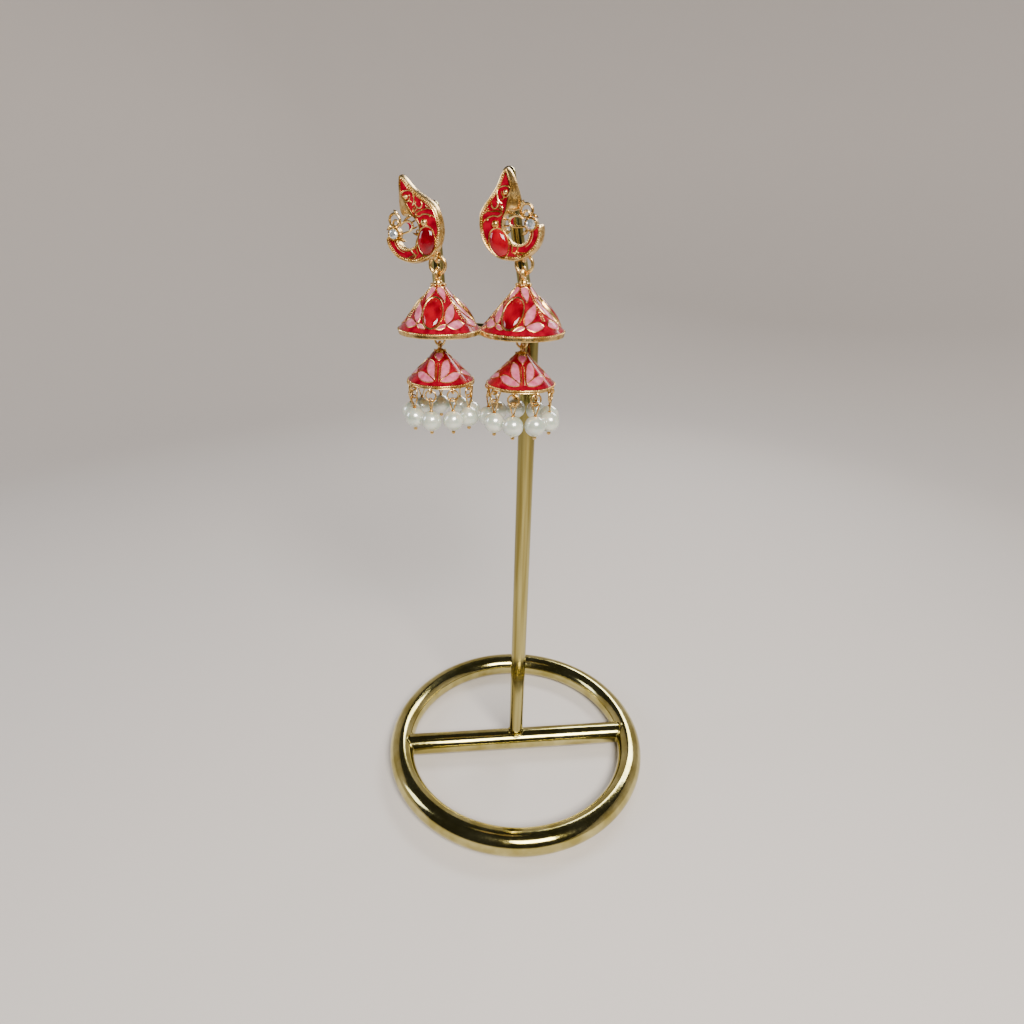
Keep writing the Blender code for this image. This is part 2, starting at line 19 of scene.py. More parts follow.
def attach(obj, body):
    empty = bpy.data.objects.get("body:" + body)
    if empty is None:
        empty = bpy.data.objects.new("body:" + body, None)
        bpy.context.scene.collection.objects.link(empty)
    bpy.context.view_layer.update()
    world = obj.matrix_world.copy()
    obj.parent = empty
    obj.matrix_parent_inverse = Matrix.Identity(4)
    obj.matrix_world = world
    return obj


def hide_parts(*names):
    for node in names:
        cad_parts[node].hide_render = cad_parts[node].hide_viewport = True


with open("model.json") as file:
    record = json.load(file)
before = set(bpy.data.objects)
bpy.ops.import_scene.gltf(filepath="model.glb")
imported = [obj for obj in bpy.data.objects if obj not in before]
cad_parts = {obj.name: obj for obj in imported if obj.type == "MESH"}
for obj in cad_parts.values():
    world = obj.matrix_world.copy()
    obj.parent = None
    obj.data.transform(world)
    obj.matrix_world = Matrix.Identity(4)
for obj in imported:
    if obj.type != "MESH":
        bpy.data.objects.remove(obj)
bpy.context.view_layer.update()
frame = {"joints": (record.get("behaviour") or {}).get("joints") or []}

MM = 0.001

# %% [markdown]
# Every form here is first worked out as a shape: its points in millimetres, and its faces.
# Blender could add primitives and modifiers instead, but wires, beads and enamel pads come by
# the hundred on a jewel, and plain arrays of points are quick to make, move and join.

# %% Shapes and pieces
def joined(*shapes):
    """One shape from several."""
    points = []
    faces = []
    count = 0
    for some_points, some_faces in shapes:
        points.append(np.asarray(some_points, float))
        faces += [tuple(int(i) + count for i in face) for face in some_faces]
        count += len(some_points)
    return np.vstack(points), faces


def moved(shape, matrix):
    """The shape after a move, a turn or a stretch."""
    points = np.c_[shape[0], np.ones(len(shape[0]))] @ np.array(matrix).T
    return points[:, :3], shape[1]


def make_piece(name, shape, material, body, replaced=(), sharp=40):
    """Turns a shape into a named object that rides on a body and stands for CAD nodes."""
    mesh = bpy.data.meshes.new(name)
    mesh.from_pydata([tuple(point) for point in np.asarray(shape[0]) * MM], [], shape[1])
    work = bmesh.new()
    work.from_mesh(mesh)
    bmesh.ops.recalc_face_normals(work, faces=work.faces)
    work.to_mesh(mesh)
    work.free()
    mesh.materials.append(material)
    mesh.shade_smooth()
    mesh.set_sharp_from_angle(angle=math.radians(sharp))
    piece = bpy.data.objects.new(name, mesh)
    bpy.context.scene.collection.objects.link(piece)
    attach(piece, body)
    if replaced:
        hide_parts(*replaced)


# %% [markdown]
# Bells, pearls, finials and tubes are round, so they are turned: an outline of radius and
# height is swept about an axis, as on a lathe.

# %% Turned shapes
def lathe(profile, sides):
    """Turns (radius, height) points about Z. A point on the axis becomes one vertex."""
    points = []
    rows = []
    for radius, height in profile:
        if radius < 1e-6:
            rows.append([len(points)] * sides)
            points.append((0.0, 0.0, height))
            continue
        rows.append(list(range(len(points), len(points) + sides)))
        for i in range(sides):
            angle = 2 * math.pi * i / sides
            points.append((radius * math.sin(angle), -radius * math.cos(angle), height))
    faces = []
    for upper, lower in zip(rows, rows[1:]):
        for i in range(sides):
            j = (i + 1) % sides
            corners = [upper[i], upper[j], lower[j], lower[i]]
            corners = [c for n, c in enumerate(corners) if c not in corners[:n]]
            if len(corners) > 2:
                faces.append(tuple(corners))
    return np.array(points), faces


def ball(radius, centre, sides, rows):
    """A sphere as a turned half circle."""
    arc = [math.pi * i / rows for i in range(rows + 1)]
    shape = lathe([(radius * math.sin(a), radius * math.cos(a)) for a in arc], sides)
    return shape[0] + np.array(centre, float), shape[1]


# %% [markdown]
# Links, eyelets, scrolls and the gold lines between enamels are all drawn wire.
# A wire is a circle carried along a path without twisting, so that its shine runs evenly.

# %% Wires
# No wire starts along this direction. The first way sideways is worked out from it.
ASKEW = (0.31, 0.86, 0.41)


def smooth_path(knots, steps, closed=False):
    """A smooth curve through the knots, in two or three dimensions."""
    knots = np.asarray(knots, float)
    count = len(knots)
    spans = count if closed else count - 1
    path = []
    for i in range(spans):
        if closed:
            a, b, c, d = (knots[(i + k) % count] for k in (-1, 0, 1, 2))
        else:
            a, b, c, d = (knots[min(max(i + k, 0), count - 1)] for k in (-1, 0, 1, 2))
        for step in range(steps):
            t = step / steps
            path.append(
                0.5 * (2 * b + (c - a) * t + (2 * a - 5 * b + 4 * c - d) * t**2
                       + (3 * b - 3 * c + d - a) * t**3)
            )
    if not closed:
        path.append(knots[-1])
    return np.array(path)


def tube(path, radius, sides, closed=False):
    """A round wire along a path. radius is one number, or one for each point."""
    path = np.asarray(path, float)
    count = len(path)
    radii = np.broadcast_to(radius, count).reshape(-1, 1, 1)
    ahead = np.roll(path, -1, 0) - np.roll(path, 1, 0)
    if not closed:
        ahead[0] = path[1] - path[0]
        ahead[-1] = path[-1] - path[-2]
    ahead /= np.linalg.norm(ahead, axis=1, keepdims=True)
    side = np.cross(ahead[0], ASKEW)
    frames = []
    for step in ahead:
        side = side - (side @ step) * step
        side = side / np.linalg.norm(side)
        frames.append(side)
    frames = np.array(frames)
    across = np.cross(ahead, frames)
    if closed:
        first = frames[0] - (frames[0] @ ahead[-1]) * ahead[-1]
        slip = math.atan2(first @ across[-1], first @ frames[-1])
        share = (slip * np.arange(count) / count)[:, None]
        frames, across = (
            np.cos(share) * frames + np.sin(share) * across,
            np.cos(share) * across - np.sin(share) * frames,
        )
    turn = 2 * np.pi * np.arange(sides) / sides
    ring = np.cos(turn)[None, :, None] * frames[:, None] + np.sin(turn)[None, :, None] * across[:, None]
    points = (path[:, None] + radii * ring).reshape(-1, 3)
    faces = []
    for i in range(count if closed else count - 1):
        for j in range(sides):
            k = (j + 1) % sides
            n = (i + 1) % count
            faces.append((i * sides + j, i * sides + k, n * sides + k, n * sides + j))
    if not closed:
        faces.append(tuple(range(sides)))
        faces.append(tuple(range((count - 1) * sides, count * sides)))
    return points, faces


def loop_of_wire(radius, wire, steps=28, sides=10):
    """A closed ring of wire about Z."""
    turn = 2 * np.pi * np.arange(steps) / steps
    path = np.c_[radius * np.cos(turn), radius * np.sin(turn), np.zeros(steps)]
    return tube(path, wire, sides, closed=True)


EDGE_ON = Matrix.Rotation(math.pi / 2, 4, "Y")
FACE_ON = Matrix.Rotation(math.pi / 2, 4, "X")

# %% [markdown]
# Enamel is glass powder melted in a cell of the casting. It pulls up at the edges and settles
# to a low cushion. A pad is made flat first: its outline is filled with small triangles, and
# each point rises with its distance from the edge. It is wrapped on the metal afterwards.

# %% Enamel pads and milgrain
# How far a pad's underside sinks in the metal, in mm, and how many sides a drawn wire has
UNDER = 0.12
WIRE_SIDES = 7


def distance_to(outline, points):
    """How far each point is from a closed outline."""
    start = outline
    step = np.roll(outline, -1, 0) - outline
    away = points[:, None] - start[None]
    share = np.clip((away * step).sum(2) / np.maximum((step**2).sum(1), 1e-12), 0, 1)
    return np.linalg.norm(away - share[..., None] * step, axis=2).min(1)


def inside(outline, points):
    """Whether each point lies within a closed outline."""
    x, y = points[:, 0][:, None], points[:, 1][:, None]
    x0, y0 = outline.T
    x1, y1 = np.roll(outline, -1, 0).T
    crosses = (y0 > y) != (y1 > y)
    rise = np.where(np.abs(y1 - y0) < 1e-12, 1e-12, y1 - y0)
    return (crosses & (x < (x1 - x0) * (y - y0) / rise + x0)).sum(1) % 2 == 1


def pad(outline, lift, dome, reach, spacing):
    """A closed cushion over a flat outline: u, v and its height, which grows within reach of the edge."""
    outline = np.asarray(outline, float)
    low, high = outline.min(0), outline.max(0)
    across, up = np.meshgrid(
        np.arange(low[0], high[0], spacing), np.arange(low[1], high[1], spacing)
    )
    grid = np.c_[across.ravel(), up.ravel()]
    grid = grid[inside(outline, grid)]
    if len(grid):
        grid = grid[distance_to(outline, grid) > 0.6 * spacing]
    every = [Vector(p) for p in outline] + [Vector(p) for p in grid]
    ring = [list(range(len(outline)))]
    found, _, faces, *_ = delaunay_2d_cdt(every, [], ring, 1, 1e-6)
    flat = np.array([tuple(p) for p in found])
    depth = np.minimum(distance_to(outline, flat) / reach, 1)
    top = np.c_[flat, lift + dome * (1 - (1 - depth) ** 2)]
    under = np.c_[flat, np.full(len(flat), -UNDER)]
    edges = {}
    for face in faces:
        for a, b in zip(face, list(face[1:]) + [face[0]]):
            edges[(a, b)] = edges.get((b, a), 0) + 1
    border = [(a, b) for a, b in edges if (b, a) not in edges]
    count = len(flat)
    walls = [(a, b, b + count, a + count) for a, b in border]
    lower = [tuple(i + count for i in face) for face in faces]
    return np.vstack([top, under]), [tuple(f) for f in faces] + lower + walls


def flat_wire(path, wire, lift, closed=False, ends=1.0):
    """A gold line on a flat pattern. ends is how much of its thickness it keeps at its ends."""
    path = np.asarray(path, float)
    share = np.linspace(-1, 1, len(path))
    radius = wire * (1 - (1 - ends) * np.abs(share) ** 3)
    if closed:
        radius = wire
    return tube(np.c_[path, np.full(len(path), lift)], radius, WIRE_SIDES, closed)


def flat_beads(path, bead, pitch, lift):
    """Milgrain: a row of tiny beads along a flat path, one every pitch."""
    path = np.asarray(path, float)
    run = np.r_[0, np.cumsum(np.linalg.norm(np.diff(path, axis=0), axis=1))]
    count = max(2, round(run[-1] / pitch))
    places = np.arange(count) * run[-1] / count
    spots = [[np.interp(p, run, path[:, k]) for k in (0, 1)] for p in places]
    return joined(*[ball(bead, (u, v, lift), 8, 5) for u, v in spots])


# %% [markdown]
# Colours are written as the hex values that a screen shows, and one function turns them to the
# linear values that the shader wants. One more adds any node with its inputs and its links.

# %% Colour and node helpers
def linear(code):
    """A screen colour such as #c8102e as linear red, green, blue and alpha."""
    parts = [int(code[i : i + 2], 16) / 255 for i in (1, 3, 5)]
    return [c / 12.92 if c <= 0.04045 else ((c + 0.055) / 1.055) ** 2.4 for c in parts] + [1.0]


def plug(tree, node, inputs):
    """Fills a node's inputs. Each is a value, or the output of another node."""
    for name, value in inputs.items():
        if isinstance(value, bpy.types.NodeSocket):
            tree.links.new(value, node.inputs[name])
        else:
            node.inputs[name].default_value = value


def add_node(tree, kind, inputs=None, stops=()):
    """Adds a node with its inputs and, on a colour ramp, the place and tone of its two stops."""
    node = tree.nodes.new(kind)
    plug(tree, node, inputs or {})
    for end, (place, code) in enumerate(stops):
        node.color_ramp.elements[end].position = place
        node.color_ramp.elements[end].color = linear(code)
    return node


def new_material(name):
    """An empty material with its node tree and its shader."""
    material = bpy.data.materials.new(name)
    material.use_nodes = True
    tree = material.node_tree
    return material, tree, tree.nodes["Principled BSDF"]


def per_metre(millimetres):
    """The noise scale that gives features of this size, because objects are in metres."""
    return 1 / (millimetres * MM)


# %% [markdown]
# All finishes share one recipe. The tone drifts between two colours in soft clouds, on metal the
# polish varies with finer marks, and a faint relief bends the reflections. Noise in object space
# gives all three at real sizes, so no seam shows on a closed ring. The rest is even all over.

# %% Recipe for the finishes
def jewel_finish(name, tones, clouds, surface, marks=None, polish=None, relief=None, lengthwise=1):
    """clouds and marks are noise: size in mm, detail and roughness. polish is where the marks begin
    and end, and how rough they leave the skin. relief is the noise it follows, strength and depth."""
    material, tree, shader = new_material(name)
    plain = add_node(tree, "ShaderNodeTexCoord").outputs["Object"]
    pulled = add_node(tree, "ShaderNodeMapping", {"Vector": plain, "Scale": (1, 1, lengthwise)})
    noise = {}
    for kind, row in (("clouds", clouds), ("marks", marks)):
        if row:
            size, detail, rough = row
            noise[kind] = add_node(tree, "ShaderNodeTexNoise", {
                "Vector": pulled.outputs["Vector"], "Scale": per_metre(size),
                "Detail": detail, "Roughness": rough,
            }).outputs["Fac"]
    tint = add_node(tree, "ShaderNodeValToRGB", {"Fac": noise["clouds"]}, tones)
    plug(tree, shader, {"Base Color": tint.outputs["Color"], **surface})
    if polish:
        limits = dict(zip(("From Min", "From Max", "To Min", "To Max"), polish))
        dull = add_node(tree, "ShaderNodeMapRange", {"Value": noise["marks"], **limits})
        plug(tree, shader, {"Roughness": dull.outputs["Result"]})
    if relief:
        follows, strength, depth = relief
        skin = add_node(tree, "ShaderNodeBump", {
            "Height": noise[follows], "Strength": strength, "Distance": depth * MM,
        })
        plug(tree, shader, {"Normal": skin.outputs["Normal"]})
    return material


# %% [markdown]
# The stand is steel tube with a polished brass-coloured plating. Plating is bright and a little
# green, with faint wipe marks and a few dull spots that break the reflections up. The rod's darker
# tones, pulled out lengthwise, are painted reflections: the stripes that a shiny rod reflects.

# %% Polished brass plating
METAL = {"Metallic": 1.0}
WIPED = {"marks": (0.9, 4.0, 0.6), "polish": (0.3, 0.8, 0.07, 0.19), "relief": ("clouds", 0.10, 0.4)}
BRASS = jewel_finish(
    "polished_brass_plate", ((0.38, "#a89c58"), (0.66, "#cfc587")), (9.0, 3.0, 0.55), METAL, **WIPED,
)
# Painted reflections: the rod's darker tones and lengthwise streaks stand in for the stripes it reflects
ROD_BRASS_AND_PAINTED_STREAKS = jewel_finish(
    "drawn_brass_rod_with_painted_reflections", ((0.38, "#8a7c42"), (0.66, "#c2b878")), (2.4, 3.0, 0.55), METAL,
    lengthwise=0.03, **WIPED,
)

# %% [markdown]
# The castings are zinc alloy, tumbled and flashed with warm gold. The skin is softer than the
# stand's: a casting grain spreads each highlight, and patches of a redder tone stay where the
# flash is thin. The real grain is too fine to show, so it is drawn coarser, at 0.35 mm.

# %% Warm gold flash on a casting
GOLD = jewel_finish(
    "warm_gold_flash", ((0.38, "#c2954c"), (0.62, "#f4d28c")), (1.6, 2.0, 0.5), METAL,
    marks=(0.35, 3.0, 0.6), polish=(0.3, 0.7, 0.18, 0.34), relief=("marks", 0.25, 0.05),
)

# %% [markdown]
# The colours are soft enamel, a resin that is poured in the cells and cured. It is glossy, lies
# in slow waves and is a shade lighter where it is thin. Red and pink differ only in their tones.

# %% Poured enamel
POURED = {
    "Roughness": 0.20, "IOR": 1.52, "Specular IOR Level": 0.2, "Coat Weight": 0.2, "Coat Roughness": 0.06,
}
POOLS = (1.5, 2.0, 0.5)
WAVES = ("clouds", 0.35, 0.12)
RED = jewel_finish(
    "red_poured_enamel", ((0.35, "#6e0016"), (0.68, "#980020")), POOLS, POURED, relief=WAVES,
)
PINK = jewel_finish(
    "pink_poured_enamel", ((0.35, "#b2506c"), (0.68, "#d47c96")), POOLS, POURED, relief=WAVES,
)

# %% [markdown]
# The cabochons are domed red glass on a foil. Light goes in, comes back off the foil and makes
# one side glow, so the glass gets a little scattering under a clear hard surface.

# %% Red glass cabochons
GLASS = jewel_finish("red_glass_cabochon", ((0.36, "#5e000e"), (0.64, "#a0001a")), (3.2, 1.0, 0.4), {
    "Roughness": 0.06, "IOR": 1.52, "Specular IOR Level": 0.35, "Subsurface Weight": 0.2,
    "Subsurface Scale": 0.6 * MM, "Coat Weight": 0.35, "Coat Roughness": 0.02,
})

# %% [markdown]
# The pearls are glass beads dipped in pearl essence, a lacquer full of tiny flakes that bend
# light more than glass does, hence the high IOR. The dip is milky and faintly green: a rough
# base gives its wide soft glow, and a clear coat the sharp highlight on top.

# %% Dipped glass pearl
PEARL = jewel_finish("dipped_glass_pearl", ((0.36, "#aebcaa"), (0.66, "#dadecd")), (2.6, 3.0, 0.5), {
    "Roughness": 0.30, "IOR": 2.1, "Specular IOR Level": 0.8, "Subsurface Weight": 0.10,
    "Subsurface Scale": 0.5 * MM, "Coat Weight": 1.0, "Coat Roughness": 0.09, "Coat IOR": 2.3,
})

# %% [markdown]
# The small stones are lead crystal with a silver foil behind. The foil sends nearly all light
# back through the facets, so a facet looks like a bright or dark mirror. A little light goes
# round inside and comes out evenly, so the shader is mostly metallic and not wholly.

# %% Foiled crystal
CRYSTAL = jewel_finish("foiled_crystal", ((0.40, "#b9c6d0"), (0.60, "#fbfdff")), (0.5, 1.0, 0.5), {
    "Metallic": 0.75, "Roughness": 0.05,
})
print("materials:", [m.name for m in (BRASS, ROD_BRASS_AND_PAINTED_STREAKS, GOLD, RED, PINK, GLASS, PEARL, CRYSTAL)])

# %% [markdown]
# The camera stands a hand's breadth in front of the earrings, level with the plates, and looks
# down at the stand's foot. That near and steep a view is why the base looks seen from above
# while the bells look seen from the side. Its place comes from the base ring's ellipse.

# %% Camera
PICTURE = 1024
FOCAL_PIXELS = 605.0
CAMERA_PLACE = Vector((41.09, -153.35, 171.02)) * MM
CAMERA_RIGHT = Vector((0.95666, 0.29025, 0.02353))
CAMERA_AHEAD = Vector((-0.25104, 0.86295, -0.43853))


def make_camera():
    lens = bpy.data.cameras.new("camera")
    lens.sensor_width = 36.0
    lens.lens = lens.sensor_width * FOCAL_PIXELS / PICTURE
    lens.clip_start = 0.005
    camera = bpy.data.objects.new("camera", lens)
    bpy.context.scene.collection.objects.link(camera)
    ahead = CAMERA_AHEAD.normalized()
    right = (CAMERA_RIGHT - CAMERA_RIGHT.dot(ahead) * ahead).normalized()
    up = right.cross(ahead)
    turn = Matrix((right, up, -ahead)).transposed()
    camera.matrix_world = Matrix.Translation(CAMERA_PLACE) @ turn.to_4x4()
    bpy.context.scene.camera = camera
    return camera


camera = make_camera()
print("lens:", round(camera.data.lens, 2), "mm")

# %% [markdown]
# Polished metal shows its room, so the room matters more than the lamps. A pale floor curves up
# into a wall behind the stand and stays low in front, so that the plates, which face forward,
# look into a dim room and keep their deep red. The dim top draws the dark bands on the tubes.

# %% Floor, wall and lights
FLOOR_RADIUS = 420.0
COVE = 260.0
WALL_TOP = 620.0
# In front the floor's bend and wall keep this share of their height
FRONT_SHARE = 0.10
# How far forward they begin to rise, as a share of the distance from the middle
RISE_BEGINS = 0.75


def studio_floor():
    bend = [math.pi / 2 * i / 12 for i in range(13)]
    profile = [(0.0, 0.0), (FLOOR_RADIUS, 0.0)]
    profile += [
        (FLOOR_RADIUS + COVE * math.sin(a), COVE * (1 - math.cos(a))) for a in bend[1:]
    ]
    profile.append((FLOOR_RADIUS + COVE, WALL_TOP))
    points, faces = lathe(profile, 96)
    behind = points[:, 1] / np.maximum(np.hypot(points[:, 0], points[:, 1]), 1)
    share = np.clip(behind + RISE_BEGINS, 0, 1)
    points[:, 2] *= FRONT_SHARE + (1 - FRONT_SHARE) * share * share * (3 - 2 * share)
    mesh = bpy.data.meshes.new("studio_floor")
    mesh.from_pydata([tuple(point) for point in points * MM], [], faces)
    mesh.shade_smooth()
    material, _, shader = new_material("pale_matt_paper")
    shader.inputs["Base Color"].default_value = linear("#dcd6d2")
    shader.inputs["Roughness"].default_value = 0.85
    mesh.materials.append(material)
    floor = bpy.data.objects.new("studio_floor", mesh)
    bpy.context.scene.collection.objects.link(floor)


def soft_box(name, place, target, size, watts, colour):
    light = bpy.data.lights.new(name, "AREA")
    light.shape = "RECTANGLE"
    light.size = size[0] * MM
    light.size_y = size[1] * MM
    light.energy = watts
    light.color = linear(colour)[:3]
    box = bpy.data.objects.new(name, light)
    bpy.context.scene.collection.objects.link(box)
    place = Vector(place) * MM
    aim = Vector(target) * MM - place
    box.matrix_world = Matrix.Translation(place) @ aim.to_track_quat("-Z", "Y").to_matrix().to_4x4()


def dim_room():
    world = bpy.data.worlds.new("dim_room")
    world.use_nodes = True
    background = world.node_tree.nodes["Background"]
    background.inputs["Color"].default_value = linear("#cfd0d2")
    background.inputs["Strength"].default_value = 0.06
    bpy.context.scene.world = world


# Name, place, where it aims, width and height, all in mm, then watts and colour
LIGHTS = (
    ("key_box", (200, -300, 420), (-5, -10, 130), (230, 180), 4.6, "#fff8ee"),
    ("fill_box", (-420, -160, 300), (-5, -10, 120), (140, 200), 0.6, "#eef4ff"),
    ("rim_box", (80, 360, 380), (0, 0, 100), (300, 100), 1.2, "#ffffff"),
)
studio_floor()
for light_row in LIGHTS:
    soft_box(*light_row)
dim_room()
print("lights:", [light_row[0] for light_row in LIGHTS])

# %% [markdown]
# The stand comes first, because the rest hangs on it. Ring, bar, rod and prongs keep the sizes
# of the solids they replace. Where two tubes are brazed together, a thin bead of filler runs
# round the joint, and its path is the curve in which one tube's surface meets the other's.

# %% Stand sizes
BASE_RADIUS = 40.0
BASE_TUBE = 3.95
BAR_RADIUS = 3.5
BAR_TURN = math.radians(22.7)
ROD_RADIUS = 2.35
POST_HEIGHT = 172.4
YOKE_DROP = 28.0
YOKE_HEIGHT = POST_HEIGHT - YOKE_DROP
FORK_RADIUS = 1.6
# Each prong: its x at the ear post, how far it rises above the post, and its lean
PRONGS = {
    "left": {"x": -25.7, "rise": 1.9, "lean": math.radians(3.3)},
    "right": {"x": -4.95, "rise": 9.2, "lean": math.radians(10.6)},
}
BRAZE = 0.42
COLLAR_BRAZE = 0.3
# How far the crossbar reaches, as a share of the ring's inner radius: its ends lie in the tube
BAR_REACH = 1.03


def rod_between(start, end, radius, sides=40):
    """A round bar with domed ends that reach one radius past start and end."""
    start, end = Vector(start), Vector(end)
    length = (end - start).length
    arc = [math.pi / 2 * i / 8 for i in range(9)]
    low = [(radius * math.sin(a), -radius * math.cos(a)) for a in arc]
    rows = [(radius, length * i / 24) for i in range(1, 24)]
    high = [(radius * math.cos(a), length + radius * math.sin(a)) for a in arc]
    turn = (end - start).to_track_quat("Z", "Y").to_matrix().to_4x4()
    return moved(lathe(low + rows + high, sides), Matrix.Translation(start) @ turn)


# %% Base ring and crossbar
def base_ring():
    turn = 2 * np.pi * np.arange(180) / 180
    path = np.c_[BASE_RADIUS * np.cos(turn), BASE_RADIUS * np.sin(turn), np.full(180, BASE_TUBE)]
    return tube(path, BASE_TUBE, 40, closed=True)


def bar_braze(end):
    """The bead where the crossbar meets the ring. end is 1 or -1."""
    turn = 2 * np.pi * np.arange(72) / 72
    rise = BAR_RADIUS * np.sin(turn)
    side = BAR_RADIUS * np.cos(turn)
    reach = BASE_RADIUS - np.sqrt(BASE_TUBE**2 - rise**2)
    along = end * np.sqrt(reach**2 - side**2)
    wobble = BRAZE * (1 + 0.12 * np.sin(5 * turn) + 0.08 * np.cos(11 * turn))
    return tube(np.c_[along, side, rise], wobble, 12, closed=True)


def crossbar():
    inner = BASE_RADIUS - BASE_TUBE
    rows = [(BAR_RADIUS, inner * s) for s in np.linspace(-BAR_REACH, BAR_REACH, 40)]
    profile = [(0.0, rows[0][1])] + rows + [(0.0, rows[-1][1])]
    bar = moved(lathe(profile, 48), EDGE_ON)
    shape = joined(bar, bar_braze(1), bar_braze(-1))
    place = Matrix.Translation((0, 0, BASE_TUBE)) @ Matrix.Rotation(BAR_TURN, 4, "Z")
    return moved(shape, place)


make_piece("stand_base_ring", base_ring(), BRASS, "stand", ["base_ring"])
make_piece("stand_crossbar", crossbar(), BRASS, "stand", ["base_crossbar"])
print("base ring outside:", 2 * (BASE_RADIUS + BASE_TUBE), "mm")

# %% [markdown]
# The rod stands on the crossbar in its own bead of braze. Near the top a thinner bar runs left,
# and two prongs rise from it and lean out behind the plates. Only their rounded ends show in
# front view, but the back view shows all of them, so the joints get their beads too.

# %% Upright with its fork
def rod_braze():
    """The bead where the rod meets the top of the crossbar."""
    turn = 2 * np.pi * np.arange(60) / 60
    along = ROD_RADIUS * np.cos(turn)
    side = ROD_RADIUS * np.sin(turn)
    rise = np.sqrt((BAR_RADIUS + 0.3) ** 2 - side**2)
    wobble = BRAZE * (1 + 0.10 * np.sin(3 * turn) + 0.10 * np.cos(7 * turn))
    bead = tube(np.c_[along, side, rise], wobble, 12, closed=True)
    return moved(bead, Matrix.Translation((0, 0, BASE_TUBE)) @ Matrix.Rotation(BAR_TURN, 4, "Z"))


def collar(place, radius, axis):
    """A small bead of braze round one bar of the fork."""
    bead = loop_of_wire(radius, COLLAR_BRAZE, 40, 10)
    return moved(bead, Matrix.Translation(place) @ axis)


def prong_bar(prong):
    """The foot of a prong on the yoke, and its bar, which crosses the ear post at its x."""
    post = Vector((prong["x"], 0, POST_HEIGHT))
    outward = Vector((-math.tan(prong["lean"]), 0, 1))
    foot = post - YOKE_DROP * outward
    tip = post + (prong["rise"] - FORK_RADIUS) * outward
    return foot, rod_between(foot, tip, FORK_RADIUS, 32)


def upright():
    foot = BASE_TUBE + BAR_RADIUS + ROD_RADIUS
    rod = rod_between((0, 0, foot), (0, 0, YOKE_HEIGHT), ROD_RADIUS)
    left_foot, left = prong_bar(PRONGS["left"])
    right_foot, right = prong_bar(PRONGS["right"])
    yoke = rod_between(left_foot, right_foot, FORK_RADIUS, 32)
    lean = Matrix.Rotation(-PRONGS["left"]["lean"], 4, "Y")
    beads = [
        rod_braze(),
        collar(left_foot + Vector((0, 0, FORK_RADIUS)), FORK_RADIUS, lean),
        collar((-ROD_RADIUS, 0, YOKE_HEIGHT), FORK_RADIUS, EDGE_ON),
    ]
    return joined(rod, yoke, left, right, *beads)


make_piece("stand_upright", upright(), ROD_BRASS_AND_PAINTED_STREAKS, "stand", ["upright"])
print("prongs at x:", [prong["x"] for prong in PRONGS.values()], "mm")

# %% [markdown]
# Each plate is a peacock plume that curls into a bowl, cast in one with its gold lines. Its
# outline is a short table of places, as shares of half the width and height, for the back and
# for the front face. Where the two differ, the side slopes: that is the bare gold flank.

# %% Plate sizes and outline
PLATE_WIDTH = 14.4
PLATE_HEIGHT = 18.2
PLATE_THICK = 1.8
PLATE_SETBACK = 1.25
HANG_DEPTH = 14.0
RIGHT_PLATE = (-0.6, 171.3)
LEFT_PLATE = (-23.4, 170.1)
LEFT_PLATE_LEAN = math.radians(20)
# The height a plate leans about, as a share of half its height
LEAN_PIVOT = -0.27
# back x, back z, front x, front z
OUTLINE = (
    (-0.20, 0.98, -0.19, 0.94),
    (-0.32, 0.84, -0.30, 0.83),
    (-0.46, 0.60, -0.43, 0.60),
    (-0.66, 0.40, -0.62, 0.39),
    (-0.87, 0.19, -0.83, 0.18),
    (-0.98, 0.02, -0.94, 0.02),
    (-1.00, -0.14, -0.96, -0.14),
    (-0.99, -0.30, -0.95, -0.30),
    (-0.93, -0.51, -0.89, -0.50),
    (-0.79, -0.71, -0.75, -0.69),
    (-0.58, -0.87, -0.56, -0.84),
    (-0.32, -0.97, -0.31, -0.94),
    (-0.02, -1.00, -0.02, -0.97),
    (0.28, -0.99, 0.27, -0.96),
    (0.54, -0.91, 0.52, -0.88),
    (0.77, -0.77, 0.74, -0.75),
    (0.92, -0.61, 0.88, -0.60),
    (0.99, -0.44, 0.95, -0.44),
    (1.00, -0.29, 0.96, -0.29),
    (0.93, -0.17, 0.89, -0.19),
    (0.62, -0.22, 0.62, -0.24),
    (0.60, -0.38, 0.61, -0.40),
    (0.53, -0.51, 0.55, -0.53),
    (0.40, -0.59, 0.41, -0.61),
    (0.24, -0.62, 0.24, -0.64),
    (0.08, -0.59, 0.07, -0.61),
    (-0.04, -0.52, -0.06, -0.53),
    (-0.14, -0.41, -0.16, -0.41),
    (-0.21, -0.28, -0.23, -0.28),
    (-0.22, -0.16, -0.24, -0.16),
    (-0.18, -0.04, -0.20, -0.04),
    (-0.02, 0.06, -0.13, 0.07),
    (0.22, 0.14, -0.09, 0.20),
    (0.27, 0.27, -0.06, 0.32),
    (0.23, 0.42, -0.03, 0.43),
    (0.15, 0.60, 0.00, 0.58),
    (0.04, 0.80, -0.06, 0.76),
    (-0.08, 0.94, -0.13, 0.89),
)
OUTLINE_STEPS = 4
half_plate = np.array((PLATE_WIDTH, PLATE_HEIGHT)) / 2
rows = np.array(OUTLINE)
back_edge = smooth_path(rows[:, 0:2] * half_plate, OUTLINE_STEPS, closed=True)
front_edge = smooth_path(rows[:, 2:4] * half_plate, OUTLINE_STEPS, closed=True)
print("plate outline points:", len(front_edge))


# %% Plate casting
def inset(outline, amount):
    """The outline moved inwards by amount along each point's own normal."""
    along = np.roll(outline, -1, 0) - np.roll(outline, 1, 0)
    along /= np.linalg.norm(along, axis=1, keepdims=True)
    area = (outline[:, 0] * np.roll(outline[:, 1], -1) - outline[:, 1] * np.roll(outline[:, 0], -1)).sum()
    inward = np.c_[-along[:, 1], along[:, 0]] * np.sign(area)
    moved_in = outline + amount * inward
    keep = distance_to(outline, moved_in) > 0.93 * amount
    return moved_in[keep & inside(outline, moved_in)]


